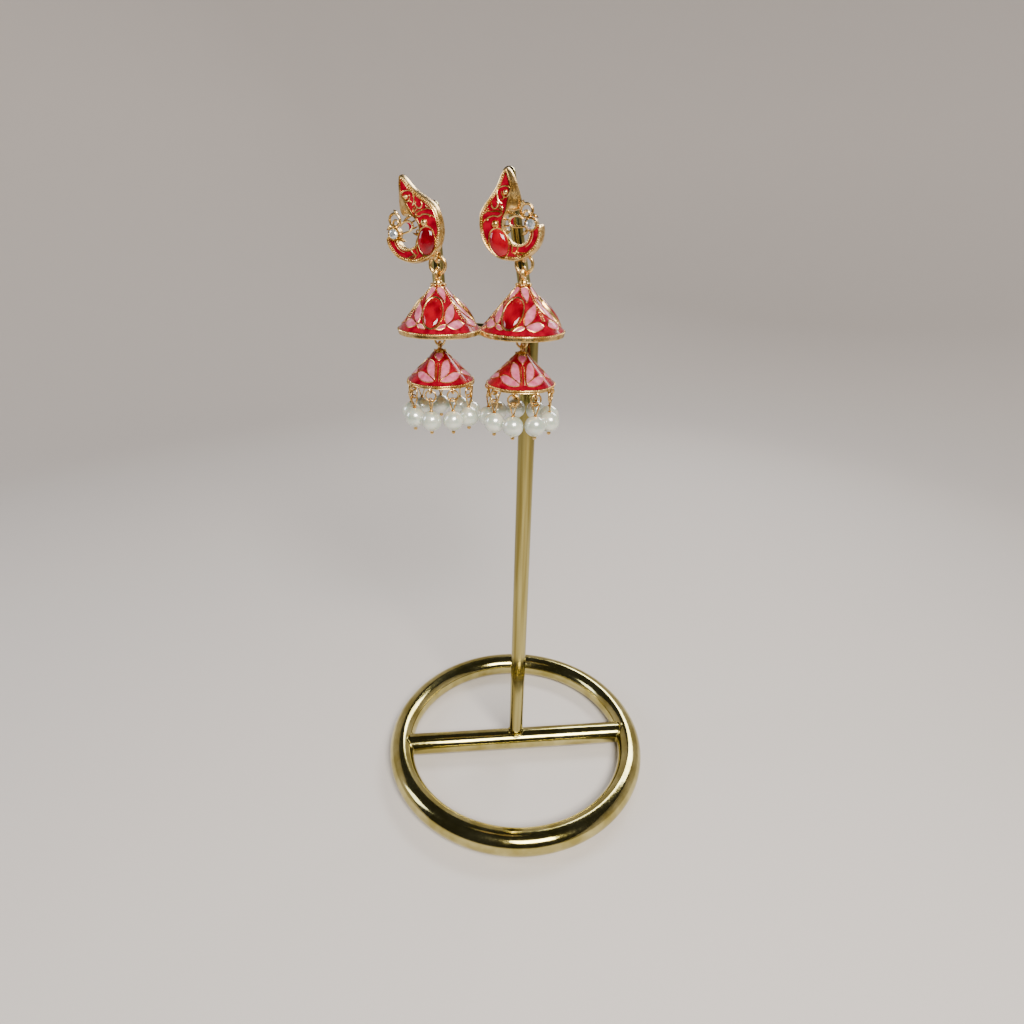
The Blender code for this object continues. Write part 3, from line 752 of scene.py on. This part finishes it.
def plate_body():
    """Back, sloping sides and front. u is across, v up, and the third number is forward of the front."""
    count = len(front_edge)
    middle = 0.5 * (back_edge + front_edge)
    soft = 0.93 * front_edge + 0.07 * middle
    layers = [
        (back_edge, -PLATE_THICK),
        (back_edge, -0.82 * PLATE_THICK),
        (0.35 * back_edge + 0.65 * front_edge, -0.25),
        (soft, -0.06),
        (front_edge, 0.0),
    ]
    points = np.vstack([np.c_[edge, np.full(count, lift)] for edge, lift in layers])
    faces = []
    for layer in range(len(layers) - 1):
        for i in range(count):
            j = (i + 1) % count
            a, b = layer * count, (layer + 1) * count
            faces.append((a + i, a + j, b + j, b + i))
    top = (len(layers) - 1) * count
    faces += [tuple(range(count)), tuple(range(top, top + count))]
    return points, faces


# %% [markdown]
# The plume's ornament is traditional leaf scrollwork in gold line. Each scroll is drawn as a
# few places in millimetres from the plate's middle, and a smooth wire runs through them.
# Two round bosses and the small ring are beads of the same casting.

# %% Plate ornament
# Rows of ornament along the plate's edge: how far in from it, the wire or bead, and the pitch
RIM_INSET = 0.16
RIM_WIRE = 0.22
GRAIN_INSET = 0.42
GRAIN_BEAD = 0.21
GRAIN_PITCH = 0.46
INNER_INSET = 0.68
INNER_WIRE = 0.11
FIELD_INSET = 0.40
BOWL_BEAD = 0.25
BOWL_PITCH = 0.52
BOWL_ROWS = slice(21, 27)
HORSESHOE_WIRE = 0.25
SCROLL_WIRE = 0.19
SCROLLS = (
    ((-2.72, 4.87), (-2.12, 5.29), (-1.11, 5.46), (-0.35, 5.15), (-0.32, 4.36), (-0.72, 3.60),
     (-1.31, 3.43), (-1.92, 3.85), (-2.02, 4.44)),
    ((-3.03, 4.70), (-2.92, 3.52), (-2.62, 2.67), (-1.91, 2.16)),
    ((-2.12, 2.92), (-1.71, 3.09), (-1.41, 3.43)),
    ((-4.14, 2.33), (-4.18, 1.66), (-3.63, 1.23), (-3.03, 1.49), (-2.72, 2.16), (-3.13, 2.59)),
    ((-3.03, 1.49), (-2.32, 1.23), (-1.81, 0.98), (-1.87, 1.49), (-2.42, 1.79)),
    ((-6.16, 0.05), (-5.25, 0.64), (-4.95, 1.23)),
    ((-5.25, 0.64), (-4.14, 0.64), (-3.13, 0.73), (-2.32, 0.64), (-1.87, 0.27), (-2.72, -0.29),
     (-3.73, -0.20), (-4.74, -0.54), (-5.55, -1.05), (-6.10, -1.64)),
    ((1.92, -5.80), (1.72, -6.62), (1.22, -7.30), (0.71, -7.39)),
    ((1.22, -7.27), (2.33, -7.30), (3.94, -7.34)),
    ((1.12, -7.60), (2.53, -7.92), (3.94, -7.78)),
    ((-0.90, -3.92), (-0.10, -4.77), (0.51, -6.03), (0.47, -7.30)),
    ((-1.60, -0.72), (-0.85, -0.80), (-0.20, -0.95)),
    ((-1.55, -2.00), (-0.80, -2.10), (0.00, -1.95)),
)
BOSSES = ((-1.15, 4.28, 0.55), (-3.33, -1.81, 0.85), (-2.35, 2.40, 0.28), (-5.10, -1.05, 0.24))
CURL_LOOPS = (
    ((3.44, 0.98), 1.30, 0.30),
    ((3.44, 0.30), 0.64, 0.24),
    ((-1.02, -2.95), 0.34, 0.15),
    ((-4.44, -1.05), 0.36, 0.13),
)
HORSESHOE = ((2.75, -0.62), (2.20, -0.28), (1.40, -0.08), (0.60, -0.16), (-0.05, -0.58), (-0.32, -1.20),
             (0.00, -1.85), (0.70, -2.20), (1.70, -2.22), (3.40, -2.12))
HORSESHOE_ENAMEL = ((0.95, -0.42), (0.35, -0.62), (0.00, -1.20), (0.30, -1.75), (0.90, -1.95),
                    (0.62, -1.55), (0.55, -0.85))
LEAVES = (
    ((2.85, 3.05), (2.30, 2.65), (2.05, 2.05), (2.45, 1.80), (2.95, 2.25)),
    ((6.15, -0.30), (5.45, 0.35), (4.85, 0.45), (4.75, 0.05), (5.35, -0.35)),
    ((2.50, -4.00), (2.85, -3.25), (3.55, -2.55), (4.00, -2.85), (3.45, -3.65)),
    ((1.75, 0.02), (0.95, 0.42), (0.00, 0.80), (-0.75, 0.75), (-0.60, 0.30), (0.20, 0.12)),
    ((0.30, -2.70), (-0.10, -3.35), (-0.70, -3.80), (-1.35, -3.80), (-0.70, -3.20)),
)
STONE_PLACE = (4.54, -1.64)
STONE_RADIUS = 1.1
BEZEL_WALL = 0.3
CABOCHON_PLACE = (-2.45, -5.46)
CABOCHON_HALF = (2.1, 3.0)
CABOCHON_RISE = 1.1
CABOCHON_LEAN = math.radians(24)


def leaf(knots):
    """The outline of a leaf or petal from a few places on it. It is pointed at the first one."""
    return smooth_path(list(knots) + [knots[0]], 4)[:-1]


def plate_gold():
    """Rim lines, milgrain, scrolls, bosses, loops and leaves, on the flat pattern."""
    half_way = len(front_edge) // 2
    outer_run = inset(front_edge, GRAIN_INSET)[:half_way]
    bowl_edge = smooth_path(rows[BOWL_ROWS, 2:4] * half_plate, 6)
    parts = [
        flat_wire(inset(front_edge, RIM_INSET), RIM_WIRE, closed=True, lift=0.02),
        flat_beads(outer_run, GRAIN_BEAD, GRAIN_PITCH, lift=0.06),
        flat_wire(inset(front_edge, INNER_INSET)[: half_way + 8], INNER_WIRE, lift=0.08, ends=0.5),
        flat_beads(bowl_edge, BOWL_BEAD, BOWL_PITCH, lift=0.05),
    ]
    for knots in SCROLLS:
        parts.append(flat_wire(smooth_path(knots, 6), SCROLL_WIRE, lift=0.12, ends=0.45))
    for u, v, radius in BOSSES:
        parts.append(ball(radius, (u, v, 0.02), 20, 12))
    for (u, v), radius, wire in CURL_LOOPS:
        parts.append(moved(loop_of_wire(radius, wire, 30, 9), Matrix.Translation((u, v, -0.30))))
    parts.append(flat_wire(smooth_path(HORSESHOE, 6), HORSESHOE_WIRE, lift=-0.35, ends=0.9))
    for knots in LEAVES:
        parts.append(pad(leaf(knots), lift=-0.25, dome=0.35, reach=0.35, spacing=0.2))
    return joined(*parts)


def stone_bezel():
    """The tube setting round the crystal, with a scalloped lip of eight small grains."""
    outer = STONE_RADIUS + BEZEL_WALL
    lip = 0.5 * STONE_RADIUS
    profile = [
        (0.0, -PLATE_THICK + 0.2), (outer, -PLATE_THICK + 0.2), (outer + 0.04, -0.3),
        (outer + 0.02, lip - 0.12), (outer - 0.08, lip), (STONE_RADIUS + 0.04, lip + 0.02),
        (STONE_RADIUS - 0.10, lip - 0.10), (0.0, lip - 0.35),
    ]
    parts = [lathe(profile, 40)]
    for i in range(8):
        angle = math.radians(22.5 + 45 * i)
        spot = (STONE_RADIUS * math.cos(angle), STONE_RADIUS * math.sin(angle), lip + 0.02)
        parts.append(ball(0.19, spot, 10, 6))
    return moved(joined(*parts), Matrix.Translation((*STONE_PLACE, 0)))


# Rings of corners from the table down: how many, radius and height as shares of the stone's
# radius, and how far the ring is turned, as a share of the step between its corners
BRILLIANT = (
    (8, 0.55, 0.40, 0.0), (8, 0.80, 0.24, 0.5), (16, 0.97, 0.0, 0.0), (16, 0.97, -0.08, 0.0),
    (8, 0.45, -0.30, 0.5),
)


def crystal():
    """A round brilliant: a table, eight kites below it, sixteen girdle facets and a low pavilion."""
    lip = 0.5 * STONE_RADIUS
    corners = []
    for count, radius, height, start in BRILLIANT:
        for i in range(count):
            angle = 2 * math.pi * (i + start) / count
            reach = radius * STONE_RADIUS
            corners.append((reach * math.cos(angle), reach * math.sin(angle), lip + height * STONE_RADIUS))
    work = bmesh.new()
    for corner in corners:
        work.verts.new(corner)
    bmesh.ops.convex_hull(work, input=work.verts)
    work.verts.index_update()
    points = np.array([tuple(vert.co) for vert in work.verts])
    faces = [tuple(vert.index for vert in face.verts) for face in work.faces]
    work.free()
    return moved((points, faces), Matrix.Translation((*STONE_PLACE, 0)))


# %% [markdown]
# The large oval is a cabochon: a domed stone held by a thin wall of metal. Dome and wall are
# turned as circles and then stretched to the oval, which keeps the wall's lip even.

# %% Plate cabochon and enamel
def oval_place(centre, half, lean):
    lay = Matrix.Rotation(lean, 4, "Z")
    return Matrix.Translation((*centre, 0)) @ lay @ Matrix.Diagonal((half[0], half[1], 1, 1))


def oval_dome(rise, sink=0.3):
    arc = [math.pi / 2 * i / 12 for i in range(13)]
    profile = [(0.0, -sink), (0.985, -sink)] + [(0.985 * math.cos(a), rise * math.sin(a)) for a in arc]
    return lathe(profile, 56)


def oval_bezel(wall, rise, sink):
    profile = [
        (1.0 - wall, -sink), (1.0 + wall, -sink), (1.0 + 0.9 * wall, 0.6 * rise),
        (1.0 + 0.45 * wall, rise), (1.0 - 0.15 * wall, 0.95 * rise), (1.0 - wall, 0.5 * rise),
        (1.0 - wall, -sink),
    ]
    return lathe(profile, 56)


def plate_cabochon():
    return moved(oval_dome(CABOCHON_RISE), oval_place(CABOCHON_PLACE, CABOCHON_HALF, CABOCHON_LEAN))


def plate_cabochon_bezel():
    shape = oval_bezel(wall=0.085, rise=0.34, sink=0.3)
    return moved(shape, oval_place(CABOCHON_PLACE, CABOCHON_HALF, CABOCHON_LEAN))


def plate_enamel():
    """The red field of the plume and bowl, and the red in the horseshoe's bend."""
    field = pad(inset(front_edge, FIELD_INSET), lift=0.03, dome=0.10, reach=0.7, spacing=0.45)
    bend = smooth_path(HORSESHOE_ENAMEL, 4, closed=True)
    return joined(field, pad(bend, lift=-0.35, dome=0.08, reach=0.3, spacing=0.2))


# %% [markdown]
# The right plate stands straight. The left one is its mirror image, with its top leaning
# outwards. The same flat pattern serves both: one function stands it up, mirrors and leans it.

# %% Stand the plates up
def stand_plate(shape, side, centre, lean):
    """Flat pattern to the upright plate. side is 1 for the right plate and -1 for the left."""
    u, v, lift = shape[0].T
    points = np.c_[side * u, -PLATE_THICK - lift, v]
    pivot = Matrix.Translation((0, 0, LEAN_PIVOT * PLATE_HEIGHT / 2))
    leaned = pivot @ Matrix.Rotation(-lean, 4, "Y") @ pivot.inverted()
    place = Matrix.Translation((centre[0], -HANG_DEPTH - PLATE_SETBACK, centre[1]))
    return moved((points, shape[1]), place @ leaned)


TOP_LINK_RADIUS = 1.92
TOP_LINK_WIRE = 0.38
EYELET_WIRE = 0.45
GAP = 0.3
POST_RADIUS = 0.45
hinge_of = {joint["name"]: Vector(joint["pos_m"]) / MM for joint in frame["joints"]}


def plate_fittings(side_name, prong_x):
    """The eyelet behind the bowl, and the ear post that runs back into the prong."""
    hang = hinge_of[side_name + "_drop_swing"]
    eyelet = moved(loop_of_wire(TOP_LINK_WIRE + GAP + EYELET_WIRE, EYELET_WIRE), EDGE_ON)
    eyelet = moved(eyelet, Matrix.Translation(hang))
    start = Vector((prong_x, -HANG_DEPTH - PLATE_SETBACK, POST_HEIGHT))
    end = Vector((prong_x, FORK_RADIUS - POST_RADIUS, POST_HEIGHT))
    return joined(eyelet, rod_between(start, end, POST_RADIUS, 20))


def dress_plate(side_name, side, centre, lean, prong_x):
    node = side_name + "_plate"

    def stood(shape):
        return stand_plate(shape, side, centre, lean)

    flat_gold = (plate_body(), plate_gold(), stone_bezel(), plate_cabochon_bezel())
    gold = joined(*[stood(part) for part in flat_gold], plate_fittings(side_name, prong_x))
    make_piece(node + "_casting", gold, GOLD, "stand", [node])
    make_piece(node + "_enamel", stood(plate_enamel()), RED, "stand", [node])
    make_piece(node + "_cabochon", stood(plate_cabochon()), GLASS, "stand", [node])
    make_piece(node + "_crystal", stood(crystal()), CRYSTAL, "stand", [node], sharp=5)
    print(node, "points:", len(gold[0]))


dress_plate("right", 1, RIGHT_PLATE, 0.0, PRONGS["right"]["x"])
dress_plate("left", -1, LEFT_PLATE, LEFT_PLATE_LEAN, PRONGS["left"]["x"])

# %% [markdown]
# The bells carry lotus flowers and hanging drops in pink on a red ground. A pattern is drawn
# flat, with u round the bell and v up its slope from the rim, and wrapped on the cone. Its
# width is kept true at every height, so a petal isn't pinched near the top.

# %% Bell sizes and wrapping
# grain is the milgrain of the rim, and crown the ring of larger grains under the finial
UPPER = {
    "radius": 9.8, "height": 9.65, "neck": 1.45, "band": 1.15, "finial": 1.2,
    "grain": 0.17, "pitch": 0.52, "crown": 9, "crown_grain": 0.26,
}
LOWER = {
    "radius": 8.15, "height": 6.9, "neck": 1.2, "band": 0.8, "finial": 0.5,
    "grain": 0.15, "pitch": 0.50, "crown": 8, "crown_grain": 0.22,
}
BELL_WALL = 0.9
# How deep the slope is cut back for the enamel, and how far the enamel's skin reaches in
GROUND_CUT = 0.06
GROUND_SKIN = 0.15
STEM_RADIUS = 0.5
MID_LINK_RADIUS = 1.25
MID_LINK_WIRE = 0.28
MID_EYELET_WIRE = 0.25
WELD = 0.25
LINE = 0.11


def on_bell(shape, bell, turn, mirror=1):
    """Wraps a flat pattern round a bell, turned from its front."""
    u, v, lift = shape[0].T
    run = bell["radius"] - bell["neck"]
    slant = math.hypot(run, bell["height"])
    radius = bell["radius"] - v * run / slant
    angle = turn + mirror * u / np.maximum(radius, 0.6)
    out = radius + lift * bell["height"] / slant
    rise = v * bell["height"] / slant + lift * run / slant
    return np.c_[out * np.sin(angle), -out * np.cos(angle), rise], shape[1]


def both_ways(shape, bell, turn):
    """A pattern and its mirror image on a bell."""
    return joined(on_bell(shape, bell, turn), on_bell(shape, bell, turn, -1))


def slant_of(bell):
    return math.hypot(bell["radius"] - bell["neck"], bell["height"])


# %% Bell castings
def bell_casting(bell, stem_end=None):
    """The hollow gold cone with finial, rim band and, in the upper bell, the stem."""
    radius, height, neck, band = (bell[k] for k in ("radius", "height", "neck", "band"))
    finial = bell["finial"]
    slope = slant_of(bell)
    wall = BELL_WALL * slope / height
    fall = (radius - neck) / height
    crown = height - 1.3 * BELL_WALL
    inner = radius - wall
    outside = [
        (0.0, height + finial), (0.55 * neck, height + finial), (0.66 * neck, height + 0.85 * finial),
        (0.72 * neck, height + 0.60 * finial), (1.15 * neck, height + 0.48 * finial),
        (1.25 * neck, height + 0.30 * finial), (1.12 * neck, height + 0.08 * finial),
        (neck - GROUND_CUT, height - 0.1), (radius - GROUND_CUT, 0.02), (radius + 0.05, 0.02),
        (radius + 0.12, -0.10), (radius + 0.10, -0.22), (radius - 0.02, -0.30),
        (radius - 0.02, -0.60 * band), (radius + 0.04, -0.75 * band), (radius - 0.04, -0.95 * band),
        (radius - 0.3 * band, -band),
    ]
    inside_of = [(inner, -band), (inner - 0.05 * wall, 0.0), (inner - fall * crown, crown)]
    end = [(0.0, crown)]
    if stem_end is not None:
        end = [(STEM_RADIUS, crown), (STEM_RADIUS, stem_end), (0.0, stem_end)]
    return lathe(outside + inside_of + end, 96)


def bell_ground(bell):
    """The red enamel ground: a thin skin over the whole slope."""
    radius, height, neck = (bell[k] for k in ("radius", "height", "neck"))
    outer = [(radius - (radius - neck) * s, height * s) for s in np.linspace(0.015, 0.985, 14)]
    inner = [(r - GROUND_SKIN, h - 0.02) for r, h in reversed(outer)]
    return lathe(outer + inner + [outer[0]], 96)


def round_grains(count, reach, height, bead, sides, bands):
    """A ring of equal grains about Z."""
    turns = [2 * math.pi * i / count for i in range(count)]
    return joined(*[
        ball(bead, (reach * math.sin(a), -reach * math.cos(a), height), sides, bands) for a in turns
    ])


def bell_grains(bell):
    """Milgrain along the top of the rim band, and a crown of grains where the finial begins."""
    count = round(2 * math.pi * bell["radius"] / bell["pitch"])
    rim = round_grains(count, bell["radius"] + 0.07, -0.08, bell["grain"], 8, 5)
    height = bell["height"] + 0.18 * bell["finial"]
    crown = round_grains(bell["crown"], 1.18 * bell["neck"], height, bell["crown_grain"], 10, 6)
    return joined(rim, crown)


# %% [markdown]
# On the upper bell three tall oval stones stand between six half lotuses. A half lotus has a
# tall petal, a broad low one and a thin one that runs under the stone, and above it a drop
# hangs from the finial. Its mirror image stands on the stone's other side.

# %% Upper bell pattern
# The tall petal, the low one, the thin one under the stone and the hanging drop, each tip first
UPPER_PETALS = (
    ((4.60, 8.40), (3.72, 7.50), (3.08, 6.60), (2.82, 5.50), (2.92, 4.10), (3.45, 2.75),
     (4.35, 3.40), (5.02, 4.40), (5.20, 5.60), (4.98, 7.00)),
    ((8.10, 2.40), (7.20, 3.15), (6.10, 3.65), (4.85, 3.30), (3.75, 2.45), (4.75, 1.65),
     (6.10, 1.25), (7.25, 1.65)),
    ((1.25, 1.35), (1.95, 2.25), (2.75, 2.65), (3.50, 2.35), (3.05, 1.70), (2.20, 1.35)),
    ((2.40, 8.45), (1.75, 9.35), (0.95, 10.35), (0.28, 11.35), (0.15, 12.15), (0.85, 12.55),
     (1.60, 12.15), (2.12, 11.30), (2.45, 10.10)),
)
STONE_HALF = (2.3, 4.1)
STONE_RISE = 0.9
STONE_DOWN = 0.56
STONES = 3
UPPER_TURN = {"left": math.radians(10), "right": math.radians(-5)}


def pattern_pads(petals, spacing):
    return joined(*[
        pad(leaf(knots), lift=0.03, dome=0.09, reach=0.35, spacing=spacing) for knots in petals
    ])


def pattern_lines(petals):
    return joined(*[flat_wire(leaf(knots), LINE, closed=True, lift=0.06) for knots in petals])


def divider():
    """Two short rows of grains that part the panels, from the finial to the petals' tips."""
    paths = [np.c_[np.full(2, side), (11.3, 3.3)] for side in (-0.28, 0.28)]
    return joined(*[flat_beads(path, bead=0.20, pitch=0.52, lift=0.06) for path in paths])


def stone_on_bell(shape, index, turn):
    """Lays an oval on the cone's slope, at its place round the bell."""
    run = UPPER["radius"] - UPPER["neck"]
    slope = math.atan2(UPPER["height"], run)
    at_radius = UPPER["neck"] + STONE_DOWN * run
    at_height = (1 - STONE_DOWN) * UPPER["height"]
    stretch = Matrix.Diagonal((STONE_HALF[0], STONE_HALF[1], 1, 1))
    lay = FACE_ON @ stretch
    tip = Matrix.Rotation(slope - math.pi / 2, 4, "X")
    out = Matrix.Translation((0, -at_radius, at_height))
    around = Matrix.Rotation(turn + 2 * math.pi * index / STONES, 4, "Z")
    return moved(shape, around @ out @ tip @ lay)


def upper_bell_shapes(turn):
    """Gold, pink and glass of one upper bell, its rim line at height 0."""
    pads = pattern_pads(UPPER_PETALS, spacing=0.34)
    lines = pattern_lines(UPPER_PETALS)
    gold = [bell_grains(UPPER)]
    pink = []
    glass = []
    for i in range(STONES):
        angle = turn + 2 * math.pi * i / STONES
        pink.append(both_ways(pads, UPPER, angle))
        gold.append(both_ways(lines, UPPER, angle))
        gold.append(on_bell(divider(), UPPER, angle + math.pi / STONES))
        gold.append(stone_on_bell(oval_bezel(wall=0.075, rise=0.26, sink=0.75), i, turn))
        glass.append(stone_on_bell(oval_dome(STONE_RISE, sink=0.6), i, turn))
    return joined(*gold), joined(*pink), joined(*glass)


# %% [markdown]
# The lower bell is smaller and has three whole lotuses: two upright petals with a slit of red
# between them, two spread low, and a drop above. They face a little right of the front.

# %% Lower bell pattern
LOWER_PETALS = (
    ((2.35, 7.35), (1.20, 6.95), (0.80, 5.60), (0.72, 3.80), (0.75, 2.00), (1.60, 2.60),
     (2.50, 3.50), (2.90, 4.70), (2.80, 6.10)),
    ((6.15, 2.90), (5.20, 3.50), (3.80, 3.65), (2.10, 2.80), (0.85, 1.60), (1.70, 1.15),
     (3.10, 1.10), (4.90, 1.70)),
)
LOWER_DROP = ((0.00, 7.05), (-0.75, 8.00), (-1.05, 8.70), (-0.70, 9.30), (0.00, 9.50),
              (0.70, 9.30), (1.05, 8.70), (0.75, 8.00))
LOWER_SLIT = ((0.0, 6.65), (0.32, 6.2), (0.36, 4.5), (0.34, 2.6), (0.36, 1.4))
LOTUSES = 3
LOWER_TURN = {"left": math.radians(16), "right": math.radians(21)}


def lower_bell_shapes(turn):
    pads = pattern_pads(LOWER_PETALS, spacing=0.34)
    lines = joined(
        pattern_lines(LOWER_PETALS), flat_wire(smooth_path(LOWER_SLIT, 4), LINE, lift=0.06, ends=0.6)
    )
    drop_pad = pattern_pads((LOWER_DROP,), spacing=0.3)
    drop_line = pattern_lines((LOWER_DROP,))
    gold = [bell_grains(LOWER)]
    pink = []
    for i in range(LOTUSES):
        angle = turn + 2 * math.pi * i / LOTUSES
        pink.append(both_ways(pads, LOWER, angle))
        gold.append(both_ways(lines, LOWER, angle))
        pink.append(on_bell(drop_pad, LOWER, angle))
        gold.append(on_bell(drop_line, LOWER, angle))
    return joined(*gold), joined(*pink)


# %% [markdown]
# Links are closed rings of drawn wire. Each one faces the front and passes through eyelets that
# stand edge on, so every link can swing both ways, as in the real earring.

# %% Place the bells and links
PEARLS = 9
PEARL_RADIUS = 2.5
FRINGE_RADIUS = 7.75
FRINGE_TURN = math.radians(4)
JUMP_RADIUS = 1.33
JUMP_WIRE = 0.22
FRINGE_WIRE = 0.21
STEM_LENGTH = 1.7
TAIL_BALL = 0.5
top_eye = TOP_LINK_WIRE + GAP + EYELET_WIRE
mid_eye = MID_LINK_WIRE + GAP + MID_EYELET_WIRE
fringe_eye = JUMP_WIRE + GAP + FRINGE_WIRE
upper_link_height = UPPER["height"] + UPPER["finial"] - WELD + top_eye + EYELET_WIRE
lower_link_height = LOWER["height"] + LOWER["finial"] - WELD + mid_eye + MID_EYELET_WIRE
stem_eyelet_drop = UPPER["band"] + 0.4
rim_eyelet_drop = LOWER["band"] + FRINGE_WIRE + 0.1


def standing(ring, height):
    """A ring of wire stood edge on, with its middle at a height."""
    return moved(ring, Matrix.Translation((0, 0, height)) @ EDGE_ON)


def fringe_place(i):
    """Where the i-th drop of the fringe hangs, from the bell's axis."""
    angle = FRINGE_TURN + 2 * math.pi * i / PEARLS
    return Matrix.Rotation(angle, 4, "Z") @ Matrix.Translation((0, -FRINGE_RADIUS, 0))


def dress_bell(node, body, place, gold, bell, pink):
    """The casting, enamel ground and petals of one bell, at its place."""
    make_piece(node + "_casting", moved(gold, place), GOLD, body, [node])
    make_piece(node + "_ground", moved(bell_ground(bell), place), RED, body, [node])
    make_piece(node + "_petals", moved(pink, place), PINK, body, [node])


def dress_link(name, body, hang, radius, ring):
    """A link that faces the front and hangs from its hinge."""
    place = Matrix.Translation(hang - Vector((0, 0, radius))) @ FACE_ON
    make_piece(name + "_ring", moved(ring, place), GOLD, body, [name])


def dress_upper_bell(side_name):
    hang = hinge_of[side_name + "_drop_swing"]
    place = Matrix.Translation(hang - Vector((0, 0, 2 * TOP_LINK_RADIUS + upper_link_height)))
    gold, pink, glass = upper_bell_shapes(UPPER_TURN[side_name])
    gold = joined(
        bell_casting(UPPER, -stem_eyelet_drop + mid_eye), gold,
        standing(loop_of_wire(top_eye, EYELET_WIRE), upper_link_height),
        standing(loop_of_wire(mid_eye, MID_EYELET_WIRE), -stem_eyelet_drop),
    )
    node = side_name + "_upper_bell"
    body = side_name + "_drop"
    dress_bell(node, body, place, gold, UPPER, pink)
    make_piece(node + "_cabochons", moved(glass, place), GLASS, body, [node])
    ring = loop_of_wire(TOP_LINK_RADIUS, TOP_LINK_WIRE, 48, 14)
    dress_link(side_name + "_top_link", body, hang, TOP_LINK_RADIUS, ring)


def dress_lower_bell(side_name):
    hang = hinge_of[side_name + "_lower_swing"]
    place = Matrix.Translation(hang - Vector((0, 0, 2 * MID_LINK_RADIUS + lower_link_height)))
    gold, pink = lower_bell_shapes(LOWER_TURN[side_name])
    top_eyelet = standing(loop_of_wire(mid_eye, MID_EYELET_WIRE), lower_link_height)
    eyelet = standing(loop_of_wire(fringe_eye, FRINGE_WIRE, 20, 8), -rim_eyelet_drop)
    under_rim = [moved(eyelet, fringe_place(i)) for i in range(PEARLS)]
    gold = joined(bell_casting(LOWER), gold, top_eyelet, *under_rim)
    body = side_name + "_lower_drop"
    dress_bell(side_name + "_lower_bell", body, place, gold, LOWER, pink)
    ring = loop_of_wire(MID_LINK_RADIUS, MID_LINK_WIRE, 40, 12)
    dress_link(side_name + "_mid_link", body, hang, MID_LINK_RADIUS, ring)


for side_name in ("left", "right"):
    dress_upper_bell(side_name)
    dress_lower_bell(side_name)
print("bells dressed; slants", round(slant_of(UPPER), 2), round(slant_of(LOWER), 2), "mm")

# %% [markdown]
# A pearl drop is bent from one wire: a long eye like a drop of water hangs in the jump ring,
# closes above the pearl, runs through its hole and ends in a melted ball. By hand no two are
# bent the same, so each eye is turned a little, from a seeded list of random numbers.

# %% Pearl fringe
def eye_wire(twist):
    """The long eye: round above, drawn in to the pearl below."""
    turn = np.linspace(-0.5 * np.pi, 1.5 * np.pi, 33)[:-1]
    across = fringe_eye * 1.08 * np.cos(turn)
    up = fringe_eye * np.sin(turn)
    foot = -(fringe_eye + STEM_LENGTH)
    below = up < 0
    pull = np.where(below, (-up / fringe_eye) ** 1.5, 0.0)
    up = np.where(below, up + pull * (foot + fringe_eye), up)
    across = np.where(below, across * (1 - 0.55 * pull), across)
    path = np.c_[across, np.zeros(len(up)), up]
    wire = tube(path, 0.9 * FRINGE_WIRE, 8, closed=True)
    return moved(wire, Matrix.Rotation(twist, 4, "Z"))


def pearl_wire(twist):
    """Eye, the small cup on the pearl, the seat below it and the ball that holds it, hung from height 0."""
    top = -(fringe_eye + STEM_LENGTH)
    bottom = top - 2 * PEARL_RADIUS
    cup = lathe([
        (0.0, top + 0.22), (0.3, top + 0.2), (0.52, top + 0.02), (0.5, top - 0.1), (0.0, top - 0.15),
    ], 16)
    tail = ball(TAIL_BALL, (0, 0, bottom - 0.7 * TAIL_BALL), 16, 10)
    seat = lathe([
        (0.0, bottom + 0.1), (0.42, bottom + 0.08), (0.34, bottom - 0.12), (0.0, bottom - 0.14),
    ], 16)
    return joined(eye_wire(twist), cup, tail, seat)


def pearl_bead():
    """A bead with its drill hole just hinted at by a flattened top and bottom."""
    centre = -(fringe_eye + STEM_LENGTH) - PEARL_RADIUS
    profile = []
    for i in range(29):
        angle = math.pi * i / 28
        flat = 1 - 0.012 * math.exp(-((math.sin(angle) / 0.16) ** 2))
        profile.append((PEARL_RADIUS * math.sin(angle), centre + PEARL_RADIUS * flat * math.cos(angle)))
    return lathe(profile, 40)


def dress_fringe(side_name, chance):
    hang = hinge_of[side_name + "_lower_swing"]
    rim = hang - Vector((0, 0, 2 * MID_LINK_RADIUS + lower_link_height))
    body = side_name + "_lower_drop"
    ring = loop_of_wire(JUMP_RADIUS, JUMP_WIRE, 36, 10)
    bead = pearl_bead()
    for i in range(PEARLS):
        number = str(i + 1)
        swing = Matrix.Rotation(math.radians(chance.uniform(-9, 9)), 4, "Z")
        spot = Matrix.Translation(rim) @ fringe_place(i)
        ring_place = spot @ Matrix.Translation((0, 0, -rim_eyelet_drop - JUMP_RADIUS)) @ swing @ FACE_ON
        name = side_name + "_jump_ring_" + number
        make_piece(name + "_wire", moved(ring, ring_place), GOLD, body, [name])
        drop = spot @ Matrix.Translation((0, 0, -rim_eyelet_drop - 2 * JUMP_RADIUS))
        twist = math.radians(chance.choice((-1, 1)) * chance.uniform(28, 52))
        node = side_name + "_pearl_drop_" + number
        wire = moved(pearl_wire(twist), drop)
        make_piece(node + "_wire", wire, GOLD, body, [node])
        make_piece(node + "_bead", moved(bead, drop), PEARL, body, [node])


chance = random.Random(7)
for side_name in ("left", "right"):
    dress_fringe(side_name, chance)
print("pearls:", 2 * PEARLS, "of", 2 * PEARL_RADIUS, "mm")
